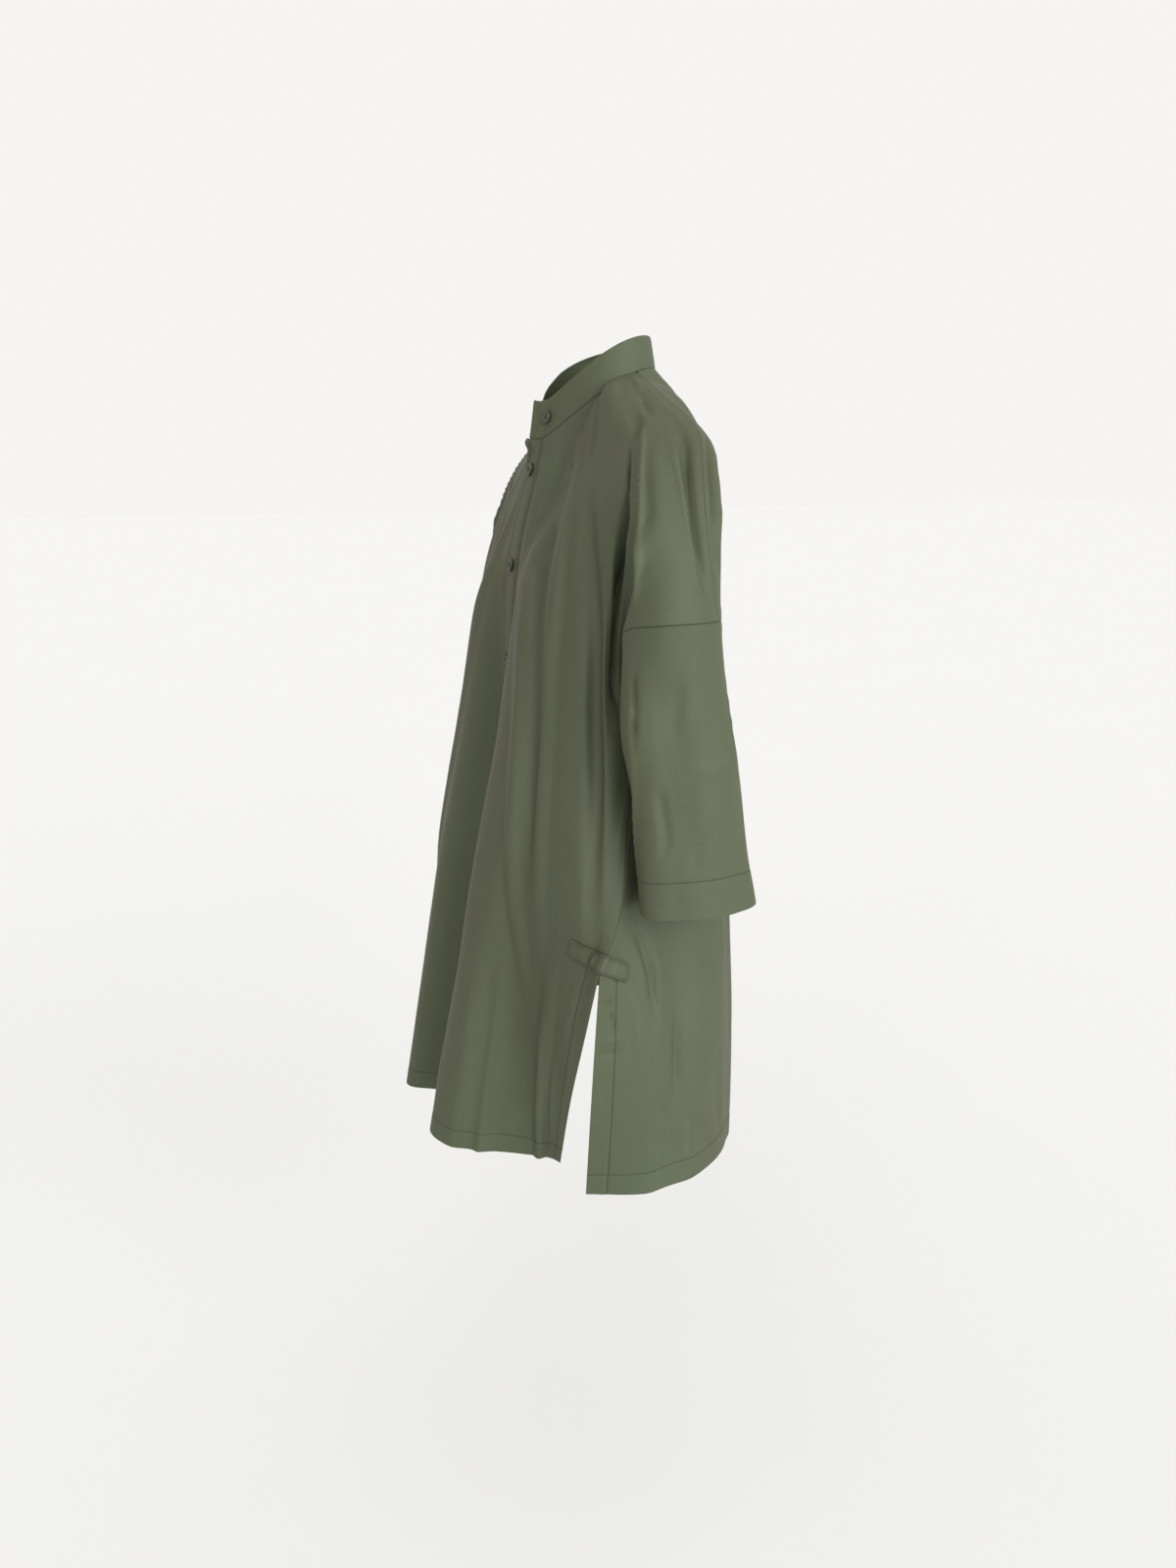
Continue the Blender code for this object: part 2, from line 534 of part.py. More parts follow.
def panels():
    side_v = joined(steps(UNDERARM_V, VENT_V, SIDE_STEPS), steps(VENT_V, 1, VENT_STEPS))
    front_v = joined(steps(0, UNDERARM_V, ARMHOLE_STEPS_FRONT), side_v)
    back_v = joined(steps(0, UNDERARM_V, ARMHOLE_STEPS_BACK), side_v)
    front_u = joined(steps(PLACKET_U, FRONT_NECK_U, NECK_STEPS_FRONT),
                     steps(FRONT_NECK_U, 1, SHOULDER_STEPS))
    back_u = joined(steps(0, BACK_NECK_U, NECK_STEPS_BACK), steps(BACK_NECK_U, 1, SHOULDER_STEPS))
    back_u = joined(-back_u[::-1], back_u)
    upper_u = steps(-PLACKET_FREE_U, PLACKET_U, PLACKET_STEPS)
    lower_u = -upper_u[::-1]
    yield Cloth("front_left", front(front_u, front_v), -1, ("top", "first", "last"))
    yield Cloth("front_right", front(-front_u[::-1], front_v), -1, ("top", "first", "last"))
    yield Cloth("back", back(back_u, back_v), 1, ("top", "first", "last"))
    yield Cloth("placket_left", outward(front(upper_u, front_v), lap(upper_u)), -1,
                ("top", "last"), PLACKET_CLOTH)
    yield Cloth("placket_right", outward(front(lower_u, front_v), -lap(-lower_u)), -1,
                ("top", "first"), PLACKET_CLOTH)


def sleeves():
    around = joined(steps(0, RING_UNDERARM, ARMHOLE_STEPS_FRONT),
                    steps(RING_UNDERARM, 1, ARMHOLE_STEPS_BACK))[:-1]
    points = sleeve(around, steps(0, 1, SLEEVE_STEPS))
    yield Cloth("sleeve_left", points, 1, ("top",), round_trip=True)
    yield Cloth("sleeve_right", settled(mirrored(points)), -1, ("top",), round_trip=True)


def collar():
    """The standing band: from its upper end, over the left shoulder and round to its lower end."""
    front_u = joined(steps(-PLACKET_FREE_U, PLACKET_U, PLACKET_STEPS),
                     steps(PLACKET_U, FRONT_NECK_U, NECK_STEPS_FRONT))
    angle = -math.pi / 2 + (NECK_SIDE_ANGLE + math.pi / 2) * front_u / FRONT_NECK_U
    to_back = steps(NECK_SIDE_ANGLE, math.pi / 2, NECK_STEPS_BACK)
    half = joined(angle, to_back)
    over = lap(np.concatenate([front_u, np.ones(NECK_STEPS_BACK)]))
    left = outward(neckline(half), over)
    right = outward(mirrored(neckline(half)), -over)[::-1]
    seam = settled(joined(left, right))
    inward = -seam * np.array([1.0, 1.0, 0.0])
    inward = inward / np.linalg.norm(inward, axis=-1, keepdims=True)
    forward = ease((NECK_HALF_DEPTH - seam[:, 1]) / (2 * NECK_HALF_DEPTH))
    height = BAND_HEIGHT_BACK + (BAND_HEIGHT_FRONT - BAND_HEIGHT_BACK) * forward
    up = height[:, None] * np.array([0.0, 0.0, 1.0])
    rows = [seam + (inward * BAND_LEAN + up) * t for t in steps(1, 0, BAND_STEPS)]
    yield Cloth("collar_band", np.array(rows), -1, ("bottom",), PLACKET_CLOTH)


def vent_tab(name, side):
    """The tab over the top of a side vent: its ends lie on the front and on the back."""
    surfaces = {"front": front, "back": back}
    facings = {"front": -1, "back": 1}
    rows = np.array([-1.0, 0.0, 1.0]) * TAB_HALF_HEIGHT_V
    spots = []
    for point in TAB:
        nearby = np.array([-0.01, 0.0]) + point.u
        patch = surfaces[point.panel](side * nearby, point.v + rows)
        normal = side * facings[point.panel] * np.cross(patch[:, 1] - patch[:, 0],
                                                        patch[2, 1] - patch[0, 1])
        normal = normal / np.linalg.norm(normal, axis=-1, keepdims=True)
        spots.append(patch[:, 1] + normal * TAB_LIFT)
    share = steps(0, 1, TAB_STEPS)
    points = smooth_curve([p.at for p in TAB], spots, share).swapaxes(0, 1)
    cloth = Cloth(name, points, -side, (), PLACKET_CLOTH)
    drawn_up = np.sin(math.pi * TAB_FOLDS * share) ** 2 * np.sin(math.pi * share)
    points = points + cloth.normals * (TAB_BUNCH * drawn_up)[None, :, None]
    return Cloth(name, points, -side, (), PLACKET_CLOTH)


def button(name, centre, facing, material):
    """A round button with a raised rim, made flat and then turned to face outwards."""
    mesh = bmesh.new()
    bmesh.ops.create_cone(mesh, cap_ends=True, segments=BUTTON_SIDES, radius1=BUTTON_RADIUS,
                          radius2=BUTTON_RADIUS, depth=BUTTON_THICKNESS)
    top = max(mesh.faces, key=lambda face: face.calc_center_median().z)
    bmesh.ops.inset_region(mesh, faces=[top], thickness=BUTTON_RIM)
    top = max((f for f in mesh.faces if len(f.verts) == BUTTON_SIDES),
              key=lambda face: face.calc_center_median().z)
    bmesh.ops.translate(mesh, verts=top.verts, vec=(0, 0, -BUTTON_DISH))
    turn = Vector((0, 0, 1)).rotation_difference(Vector(facing)).to_matrix().to_4x4()
    thing = add_object(name, mesh, material)
    thing.matrix_world = Matrix.Translation(centre) @ turn
    return thing


def buttons(placket, collar_band, material):
    """One button on the band and the rest down the placket, at an even spacing."""
    clear = PLACKET_CLOTH / 2 + BUTTON_LIFT + BUTTON_THICKNESS / 2
    column = PLACKET_STEPS // 2
    band_row = BAND_STEPS // 2
    places = [(collar_band.points[band_row, column], collar_band.normals[band_row, column])]
    levels = placket.points[:, column, 2]
    for number in range(PLACKET_BUTTONS):
        level = FIRST_BUTTON_LEVEL - BUTTON_SPACING * number
        spot = [np.interp(-level, -levels, placket.points[:, column, axis]) for axis in range(3)]
        facing = [np.interp(-level, -levels, placket.normals[:, column, axis]) for axis in range(3)]
        places.append((np.array(spot), np.array(facing)))
    for number, (spot, facing) in enumerate(places, 1):
        facing = facing / np.linalg.norm(facing)
        button(f"button_{number}", spot + facing * clear, facing, material)


def build():
    for thing in list(bpy.data.objects):
        bpy.data.objects.remove(thing, do_unlink=True)
    cloth = finish("olive_poplin", COLOURS["cloth"], 0.7)
    horn = finish("dark_button", COLOURS["button"], 0.4)
    pieces = [*panels(), *sleeves(), *collar()]
    share_normals(pieces)
    for piece in [*pieces, vent_tab("vent_tab_left", 1), vent_tab("vent_tab_right", -1)]:
        piece.build(cloth)
    named = {piece.name: piece for piece in pieces}
    buttons(named["placket_left"], named["collar_band"], horn)


build()
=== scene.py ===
"""Looks of a band-collared overshirt in olive poplin, in its worn form.

The garment is cut as two fronts, a back, two wide sleeves, two plackets, a standing band and two tabs
over its side vents. Lengths are in metres, +X is the wearer's left, -Y the front and +Z up. On a panel,
u runs from the centre line (0) to the outer edge (1 on the wearer's left, -1 on the right), and v from
the neck and shoulder (0) down to the hem (1).
"""

import logging
import math
from dataclasses import dataclass, field
from enum import Enum
from typing import NamedTuple

import bmesh
import bpy
import numpy as np
from mathutils import Euler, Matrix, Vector, noise


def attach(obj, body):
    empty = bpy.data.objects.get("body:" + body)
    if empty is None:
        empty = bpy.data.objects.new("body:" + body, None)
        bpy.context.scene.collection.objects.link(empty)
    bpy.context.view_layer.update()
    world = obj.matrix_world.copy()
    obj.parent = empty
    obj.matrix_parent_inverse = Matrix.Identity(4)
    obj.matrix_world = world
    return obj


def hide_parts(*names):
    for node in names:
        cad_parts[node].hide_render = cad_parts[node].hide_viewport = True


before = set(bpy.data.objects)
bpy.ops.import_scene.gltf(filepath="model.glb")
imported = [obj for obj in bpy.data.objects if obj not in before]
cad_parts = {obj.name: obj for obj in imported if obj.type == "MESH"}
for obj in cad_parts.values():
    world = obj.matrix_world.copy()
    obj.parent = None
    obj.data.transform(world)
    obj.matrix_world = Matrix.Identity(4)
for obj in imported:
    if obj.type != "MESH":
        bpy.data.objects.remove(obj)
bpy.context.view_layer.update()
LOG = logging.getLogger("overshirt")
MM = 0.001
BACKWARDS = np.array([0.0, 1.0, 0.0])
UPWARDS = np.array([0.0, 0.0, 1.0])


class Side(Enum):
    """The wearer's left or right."""

    LEFT = 1
    RIGHT = -1


class Profile(Enum):
    """The shape of a crease, cut across."""

    ROLL = "a rounded ridge or trough"
    CREASE = "a sharp line with sloping sides"
    TUCK = "a step on one side that runs out on the other"

    def cut(self, off: np.ndarray) -> np.ndarray:
        """Return the crease's height over a cut across it.

        Args:
            off: Places across it, 0 on its line and 1 or -1 where it ends.

        Returns:
            The height there, where the greatest is about 1.
        """
        distance = np.abs(off)
        if self is Profile.CREASE:
            return (np.exp(-4 * distance) - math.exp(-4)) / (1 - math.exp(-4)) * (distance < 1)
        if self is Profile.TUCK:
            return ease((off + 0.12) / 0.24) * np.clip(1 - distance, 0, 1) ** 2
        return bump(off, 1.0)


class Place(NamedTuple):
    """A point on a seam: at is the share of its length, or v on the side seam and the vent."""

    at: float
    x: float
    y: float
    z: float


class Fold(NamedTuple):
    """A soft straight ridge of a panel, or a trough where its depth is below 0."""

    u_top: float
    v_top: float
    u_low: float
    v_low: float
    half_width: float
    depth: float


class SleeveFold(NamedTuple):
    """A soft ridge or trough that runs down a sleeve, at an angle from the outside towards the front."""

    degrees: float
    half_degrees: float
    t_top: float
    t_low: float
    depth: float


class Ring(NamedTuple):
    """A section of the sleeve at the share t of its length."""

    t: float
    x: float
    y: float
    half_x: float
    half_y: float
    outer_level: float
    inner_level: float


class TabPoint(NamedTuple):
    """A point along the middle of a tab, on the front or on the back."""

    at: float
    on_back: bool
    u: float
    v: float


class Wrinkle(NamedTuple):
    """A crease: its way over the panel, and its half width and depth in millimetres."""

    path: tuple[tuple[float, float], ...]
    half_width: float
    depth: float
    profile: Profile


def roll(half_width: float, depth: float, *path: tuple[float, float]) -> Wrinkle:
    """Return a rounded ridge, or a trough where its depth is below 0."""
    return Wrinkle(path, half_width, depth, Profile.ROLL)


def crease(half_width: float, depth: float, *path: tuple[float, float]) -> Wrinkle:
    """Return a sharp crease."""
    return Wrinkle(path, half_width, depth, Profile.CREASE)


def tuck(half_width: float, depth: float, *path: tuple[float, float]) -> Wrinkle:
    """Return a step in the cloth."""
    return Wrinkle(path, half_width, depth, Profile.TUCK)


# ---------------------------------------------------------------- curves
def ease(t: np.ndarray) -> np.ndarray:
    """Return a smooth step from 0 to 1."""
    t = np.clip(t, 0.0, 1.0)
    return t * t * (3 - 2 * t)


def bump(off: np.ndarray, half_width: float) -> np.ndarray:
    """Return a rounded bump, 1 high in its middle and 0 at its edges."""
    return (1 - np.clip(np.abs(off) / half_width, 0, 1) ** 2) ** 2


def unit(vectors: np.ndarray) -> np.ndarray:
    """Return the vectors at length 1."""
    return vectors / np.maximum(np.linalg.norm(vectors, axis=-1, keepdims=True), 1e-12)


def smooth_curve(knots: np.ndarray, values: np.ndarray, at: np.ndarray) -> np.ndarray:
    """Read the smooth curve through one value at each knot.

    Args:
        knots: Rising places along the curve.
        values: What the curve passes through there, a row for each knot.
        at: Where to read it.

    Returns:
        A row for each place in at.
    """
    knots, values = np.asarray(knots, float), np.asarray(values, float)
    at = np.clip(np.asarray(at, float), knots[0], knots[-1])
    shape = (-1,) + (1,) * (values.ndim - 1)
    steps = np.diff(knots).reshape(shape)
    slopes = np.diff(values, axis=0) / steps
    bends = (steps[1:] * slopes[:-1] + steps[:-1] * slopes[1:]) / (steps[1:] + steps[:-1])
    first = 1.5 * slopes[:1] - 0.5 * bends[:1]
    last = 1.5 * slopes[-1:] - 0.5 * bends[-1:]
    tangents = np.concatenate([first, bends, last])
    span = np.clip(np.searchsorted(knots, at, side="right") - 1, 0, len(knots) - 2)
    step = np.diff(knots)[span]
    t = ((at - knots[span]) / step).reshape(shape)
    step = step.reshape(shape)
    return (
        (2 * t**3 - 3 * t**2 + 1) * values[span]
        + (t**3 - 2 * t**2 + t) * step * tangents[span]
        + (3 * t**2 - 2 * t**3) * values[span + 1]
        + (t**3 - t**2) * step * tangents[span + 1]
    )


def along(places: tuple[Place, ...], at: np.ndarray) -> np.ndarray:
    """Return points along a seam that is given by a few places."""
    return smooth_curve([p.at for p in places], [p[1:] for p in places], at)


def mirrored(points: np.ndarray) -> np.ndarray:
    """Return the points on the wearer's other side."""
    return points * np.array([-1.0, 1.0, 1.0])


def spread(start: float, end: float, step: float, fine: tuple[float, ...] = (),
           size: float = 1.0) -> np.ndarray:
    """Space places evenly, with more of them close to a stitched line or an edge.

    Args:
        start: The first place.
        end: The last place.
        step: The spacing in metres of cloth.
        fine: Places that have close neighbours.
        size: Metres of cloth from place 0 to place 1.

    Returns:
        The rising places.
    """
    neighbours, clear, least = (-2.6, -1.5, -0.7, 0.0, 0.7, 1.5, 2.6), 4.2 * MM, 0.3 * MM
    even = np.linspace(start, end, max(2, round((end - start) * size / step)) + 1)
    offsets = np.array(neighbours) * MM / size
    close = np.concatenate([place + offsets for place in fine]) if fine else np.empty(0)
    for place in fine:
        even = even[(np.abs(even - place) * size > clear) | np.isin(even, (start, end))]
    kept = np.concatenate([even, close])
    kept = np.unique(kept[(kept >= start) & (kept <= end)])
    keep = np.concatenate([[True], np.diff(kept) * size > least])
    keep[-1] = True
    return kept[keep]


# ---------------------------------------------------------------- the worn form
@dataclass(frozen=True)
class WornForm:
    """The garment's seams and sections, as it hangs from the neck and shoulders."""

    neck_half_width: float = 0.075
    neck_half_depth: float = 0.069
    neck_back_level: float = 0.009
    neck_front_level: float = -0.067
    neck_front_narrowing: float = 0.40
    neck_side_angle: float = math.radians(17.5)
    band_height_front: float = 0.043
    band_height_back: float = 0.035
    band_lean: float = 0.006
    placket_half_width: float = 0.0175
    placket_lap: float = 0.0022
    placket_u: float = 0.038
    placket_free_u: float = 0.032
    front_neck_u: float = 0.30
    back_neck_u: float = 0.20
    underarm_v: float = 0.28
    vent_v: float = 0.66
    top_ease: float = 0.10
    edge_ease: float = 0.12
    fold_fade: float = 0.30
    front_turn: float = math.radians(65)
    back_turn: float = math.radians(75)
    lean: float = 0.048
    lean_from: float = -0.15
    lean_to: float = -0.88
    neck_tilt: float = 0.08
    neck_tilt_ends: float = 0.075
    neck_tilt_reach: float = 0.10
    arm_back: float = 0.014
    arm_back_from: float = 0.06
    arm_back_to: float = 0.20
    arm_back_fades: float = -0.55
    arm_back_ends: float = -0.85
    tab_half_height_v: float = 0.012
    tab_lift: float = 0.0030
    tab_bunch: float = 0.0040
    tab_folds: int = 3
    ring_start: float = math.radians(48)
    ring_underarm: float = 0.64

    shoulder_seam: tuple[Place, ...] = (
        Place(0.00, 0.0703, 0.0207, -0.0003),
        Place(0.15, 0.122, 0.030, -0.024),
        Place(0.30, 0.172, 0.038, -0.045),
        Place(0.43, 0.212, 0.033, -0.070),
        Place(0.57, 0.242, 0.022, -0.110),
        Place(0.75, 0.268, 0.016, -0.168),
        Place(1.00, 0.285, 0.022, -0.250),
    )
    armhole_front: tuple[Place, ...] = (
        Place(0.00, 0.285, 0.022, -0.250),
        Place(0.16, 0.303, -0.012, -0.249),
        Place(0.32, 0.297, -0.048, -0.250),
        Place(0.48, 0.266, -0.070, -0.256),
        Place(0.64, 0.236, -0.063, -0.270),
        Place(0.82, 0.214, -0.038, -0.295),
        Place(1.00, 0.207, -0.005, -0.320),
    )
    armhole_back: tuple[Place, ...] = (
        Place(0.00, 0.285, 0.022, -0.250),
        Place(0.20, 0.264, 0.036, -0.252),
        Place(0.40, 0.237, 0.046, -0.262),
        Place(0.60, 0.216, 0.041, -0.282),
        Place(0.80, 0.207, 0.019, -0.304),
        Place(1.00, 0.207, -0.005, -0.320),
    )
    side_seam: tuple[Place, ...] = (
        Place(0.28, 0.207, -0.005, -0.320),
        Place(0.33, 0.203, -0.018, -0.358),
        Place(0.38, 0.212, -0.034, -0.400),
        Place(0.48, 0.246, -0.060, -0.480),
        Place(0.58, 0.276, -0.081, -0.560),
        Place(0.66, 0.288, -0.110, -0.620),
    )
    vent_front: tuple[Place, ...] = (
        Place(0.66, 0.288, -0.110, -0.620),
        Place(0.76, 0.274, -0.121, -0.700),
        Place(0.88, 0.249, -0.129, -0.792),
        Place(1.00, 0.223, -0.132, -0.885),
    )
    vent_back: tuple[Place, ...] = (
        Place(0.66, 0.288, -0.110, -0.620),
        Place(0.76, 0.290, -0.116, -0.700),
        Place(0.88, 0.289, -0.121, -0.792),
        Place(1.00, 0.286, -0.125, -0.888),
    )
    # A section is v and then its points from the centre line outwards, each x, y and z.
    front_stations: tuple[float, ...] = (0.0, 0.15, 0.30, 0.45, 0.60, 0.78)
    front_leans: tuple[float, ...] = (1.0, 1.0, 1.0, 0.5, 0.25, 0.0)
    front_sections: tuple[tuple, ...] = (
        (0.06, (0, -0.082, -0.115), (0.048, -0.061, -0.100), (0.085, -0.025, -0.020),
         (0.135, -0.020, -0.040), (0.195, -0.012, -0.068), (0.258, -0.022, -0.128)),
        (0.13, (0, -0.097, -0.170), (0.052, -0.083, -0.158), (0.096, -0.050, -0.080),
         (0.145, -0.046, -0.085), (0.199, -0.046, -0.105), (0.252, -0.050, -0.152)),
        (0.20, (0, -0.107, -0.225), (0.055, -0.113, -0.220), (0.102, -0.081, -0.150),
         (0.150, -0.074, -0.145), (0.199, -0.061, -0.157), (0.232, -0.046, -0.187)),
        (0.28, (0, -0.113, -0.285), (0.055, -0.129, -0.285), (0.104, -0.112, -0.235),
         (0.152, -0.098, -0.225), (0.202, -0.076, -0.235), (0.203, -0.046, -0.285)),
        (0.42, (0, -0.120, -0.410), (0.055, -0.152, -0.410), (0.105, -0.145, -0.385),
         (0.150, -0.126, -0.380), (0.196, -0.104, -0.385), (0.224, -0.074, -0.396)),
        (0.58, (0, -0.153, -0.560), (0.055, -0.190, -0.560), (0.105, -0.182, -0.555),
         (0.150, -0.156, -0.550), (0.200, -0.138, -0.550), (0.252, -0.116, -0.555)),
        (0.78, (0, -0.184, -0.715), (0.054, -0.222, -0.712), (0.106, -0.212, -0.715),
         (0.145, -0.170, -0.715), (0.187, -0.150, -0.715), (0.236, -0.137, -0.715)),
        (1.00, (0, -0.215, -0.880), (0.053, -0.257, -0.880), (0.107, -0.236, -0.885),
         (0.148, -0.194, -0.886), (0.179, -0.160, -0.887), (0.206, -0.141, -0.886)),
    )
    back_stations: tuple[float, ...] = (0.0, 0.20, 0.40, 0.60, 0.80)
    back_sections: tuple[tuple, ...] = (
        (0.06, (0, 0.099, -0.042), (0.066, 0.077, -0.026), (0.144, 0.071, -0.062),
         (0.212, 0.049, -0.087), (0.252, 0.036, -0.150)),
        (0.13, (0, 0.115, -0.094), (0.070, 0.100, -0.082), (0.138, 0.084, -0.105),
         (0.196, 0.057, -0.135), (0.238, 0.045, -0.192)),
        (0.20, (0, 0.126, -0.155), (0.070, 0.112, -0.146), (0.134, 0.091, -0.165),
         (0.186, 0.068, -0.192), (0.220, 0.044, -0.228)),
        (0.28, (0, 0.135, -0.225), (0.072, 0.122, -0.218), (0.134, 0.095, -0.238),
         (0.180, 0.072, -0.262), (0.196, 0.040, -0.300)),
        (0.42, (0, 0.142, -0.370), (0.075, 0.129, -0.370), (0.138, 0.108, -0.378),
         (0.188, 0.072, -0.388), (0.205, 0.018, -0.398)),
        (0.58, (0, 0.142, -0.550), (0.080, 0.132, -0.550), (0.152, 0.108, -0.552),
         (0.208, 0.072, -0.556), (0.231, -0.006, -0.560)),
        (0.66, (0, 0.141, -0.628), (0.084, 0.131, -0.628), (0.160, 0.107, -0.630),
         (0.222, 0.070, -0.632), (0.262, -0.016, -0.632)),
        (0.78, (0, 0.140, -0.715), (0.090, 0.130, -0.715), (0.174, 0.104, -0.715),
         (0.244, 0.064, -0.716), (0.286, -0.020, -0.716)),
        (1.00, (0, 0.138, -0.885), (0.100, 0.127, -0.885), (0.194, 0.096, -0.886),
         (0.268, 0.056, -0.888), (0.309, -0.035, -0.890)),
    )
    front_folds: tuple[Fold, ...] = (
        Fold(0.12, 0.08, 0.54, 0.78, 0.055, 0.0060),
        Fold(0.20, 0.10, 0.52, 0.62, 0.050, -0.0060),
        Fold(0.31, 0.10, 0.60, 0.70, 0.055, 0.0055),
        Fold(0.40, 0.09, 0.91, 0.66, 0.070, -0.0070),
        Fold(0.82, 0.05, 0.92, 0.34, 0.060, 0.0045),
        Fold(0.34, 0.62, 0.31, 1.20, 0.060, -0.0080),
        Fold(0.66, 0.60, 0.70, 1.25, 0.070, 0.0060),
        Fold(-0.15, 0.07, -0.40, 0.80, 0.055, 0.0060),
        Fold(-0.24, 0.11, -0.52, 0.66, 0.055, -0.0065),
        Fold(-0.36, 0.09, -0.66, 0.74, 0.060, 0.0060),
        Fold(-0.46, 0.11, -0.90, 0.60, 0.065, -0.0065),
        Fold(-0.80, 0.06, -0.91, 0.32, 0.060, 0.0045),
        Fold(-0.30, 0.58, -0.26, 1.22, 0.060, -0.0070),
        Fold(-0.62, 0.66, -0.58, 1.18, 0.065, -0.0070),
    )
    back_folds: tuple[Fold, ...] = (
        Fold(0.13, 0.10, 0.20, 1.30, 0.070, 0.0070),
        Fold(0.24, 0.13, 0.34, 1.20, 0.060, -0.0075),
        Fold(0.42, 0.10, 0.50, 1.25, 0.070, 0.0065),
        Fold(0.60, 0.12, 0.64, 0.74, 0.070, -0.0070),
        Fold(0.76, 0.56, 0.80, 1.12, 0.070, -0.0065),
        Fold(-0.08, 0.12, -0.12, 1.25, 0.065, -0.0065),
        Fold(-0.22, 0.11, -0.30, 1.28, 0.075, 0.0075),
        Fold(-0.38, 0.13, -0.47, 1.15, 0.065, -0.0070),
        Fold(-0.58, 0.10, -0.63, 0.80, 0.075, 0.0060),
        Fold(-0.72, 0.60, -0.78, 1.20, 0.070, -0.0065),
    )
    sleeve_folds: tuple[SleeveFold, ...] = (
        SleeveFold(66, 34, 0.02, 1.35, 0.0055),
        SleeveFold(22, 26, 0.05, 0.90, -0.0030),
        SleeveFold(128, 34, 0.20, 0.95, -0.0050),
        SleeveFold(-62, 36, 0.10, 1.25, 0.0040),
        SleeveFold(-140, 36, 0.12, 0.85, -0.0040),
    )
    sleeve_rings: tuple[Ring, ...] = (
        Ring(0.28, 0.266, -0.016, 0.042, 0.059, -0.338, -0.384),
        Ring(0.54, 0.272, -0.006, 0.043, 0.059, -0.420, -0.446),
        Ring(0.78, 0.282, -0.002, 0.042, 0.061, -0.496, -0.508),
        Ring(1.00, 0.290, 0.003, 0.042, 0.066, -0.556, -0.558),
    )
    tab: tuple[TabPoint, ...] = (
        TabPoint(0.00, False, 0.76, 0.636),
        TabPoint(0.28, False, 0.88, 0.642),
        TabPoint(0.52, False, 1.00, 0.647),
        TabPoint(0.76, True, 0.965, 0.655),
        TabPoint(1.00, True, 0.925, 0.664),
    )

    def neckline(self, angle: np.ndarray) -> np.ndarray:
        """Return points of the neck seam: -90 degrees is the centre front and 90 the centre back."""
        y = self.neck_half_depth * np.sin(angle)
        forward = (self.neck_half_depth - y) / (2 * self.neck_half_depth)
        x = self.neck_half_width * np.cos(angle) * (1 - self.neck_front_narrowing * forward**3)
        z = self.neck_back_level + (self.neck_front_level - self.neck_back_level) * forward**2
        return np.stack([x, y, z], axis=-1)

    def top_edge(self, u: np.ndarray, neck_u: float, centre_angle: float) -> np.ndarray:
        """Return points of a panel's neck and shoulder edge for u from 0 to 1."""
        share = np.clip(u / neck_u, 0, 1)
        neck = self.neckline(centre_angle + (self.neck_side_angle - centre_angle) * share)
        shoulder = along(self.shoulder_seam, np.clip((u - neck_u) / (1 - neck_u), 0, 1))
        return np.where((u <= neck_u)[:, None], neck, shoulder)

    def outer_edge(self, v: np.ndarray, armhole: tuple[Place, ...], vent: tuple[Place, ...]) -> np.ndarray:
        """Return points of a panel's armhole, side seam and vent edge."""
        v = np.asarray(v, float)
        points = along(self.side_seam, v)
        points = np.where((v < self.underarm_v)[:, None], along(armhole, v / self.underarm_v), points)
        return np.where((v > self.vent_v)[:, None], along(vent, v), points)

    def settled(self, points: np.ndarray) -> np.ndarray:
        """Return points with the neck tilted and the wearer's right arm taken back a little."""
        near_neck = 1 - ease((np.abs(points[..., 0]) - self.neck_tilt_ends) / self.neck_tilt_reach)
        raised = self.neck_tilt * points[..., 0] * near_neck
        raised = raised * (1 - ease(-points[..., 2] / self.neck_tilt_reach))
        points = points + raised[..., None] * UPWARDS
        side = ease((-points[..., 0] - self.arm_back_from) / (self.arm_back_to - self.arm_back_from))
        level = ease((points[..., 2] - self.arm_back_ends) / (self.arm_back_fades - self.arm_back_ends))
        return points + (self.arm_back * side * level)[..., None] * BACKWARDS

    def folded(self, points: np.ndarray, us: np.ndarray, vs: np.ndarray, folds: tuple[Fold, ...],
               turn: float, forward: int) -> np.ndarray:
        """Raise a panel's soft folds along the way that it faces.

        Args:
            points: The panel, a row for each v and a column for each u.
            us: Where its columns are.
            vs: Where its rows are.
            folds: The folds to raise.
            turn: How far round the panel faces at its outer edge.
            forward: 1 where the panel's middle faces +Y, or -1.

        Returns:
            The points with their folds.
        """
        u, v = us[None], vs[:, None]
        height = np.zeros(points.shape[:2])
        for fold in folds:
            share = (v - fold.v_top) / (fold.v_low - fold.v_top)
            middle = fold.u_top + (fold.u_low - fold.u_top) * share
            grown = ease(share / self.fold_fade) * ease((1 - share) / self.fold_fade)
            height = height + fold.depth * grown * bump(u - middle, fold.half_width)
        height = height * ease((1 - np.abs(u)) / self.edge_ease)
        faces = np.stack([np.sin(turn * us), forward * np.cos(turn * us), 0 * us], axis=-1)
        return points + height[..., None] * faces[None]

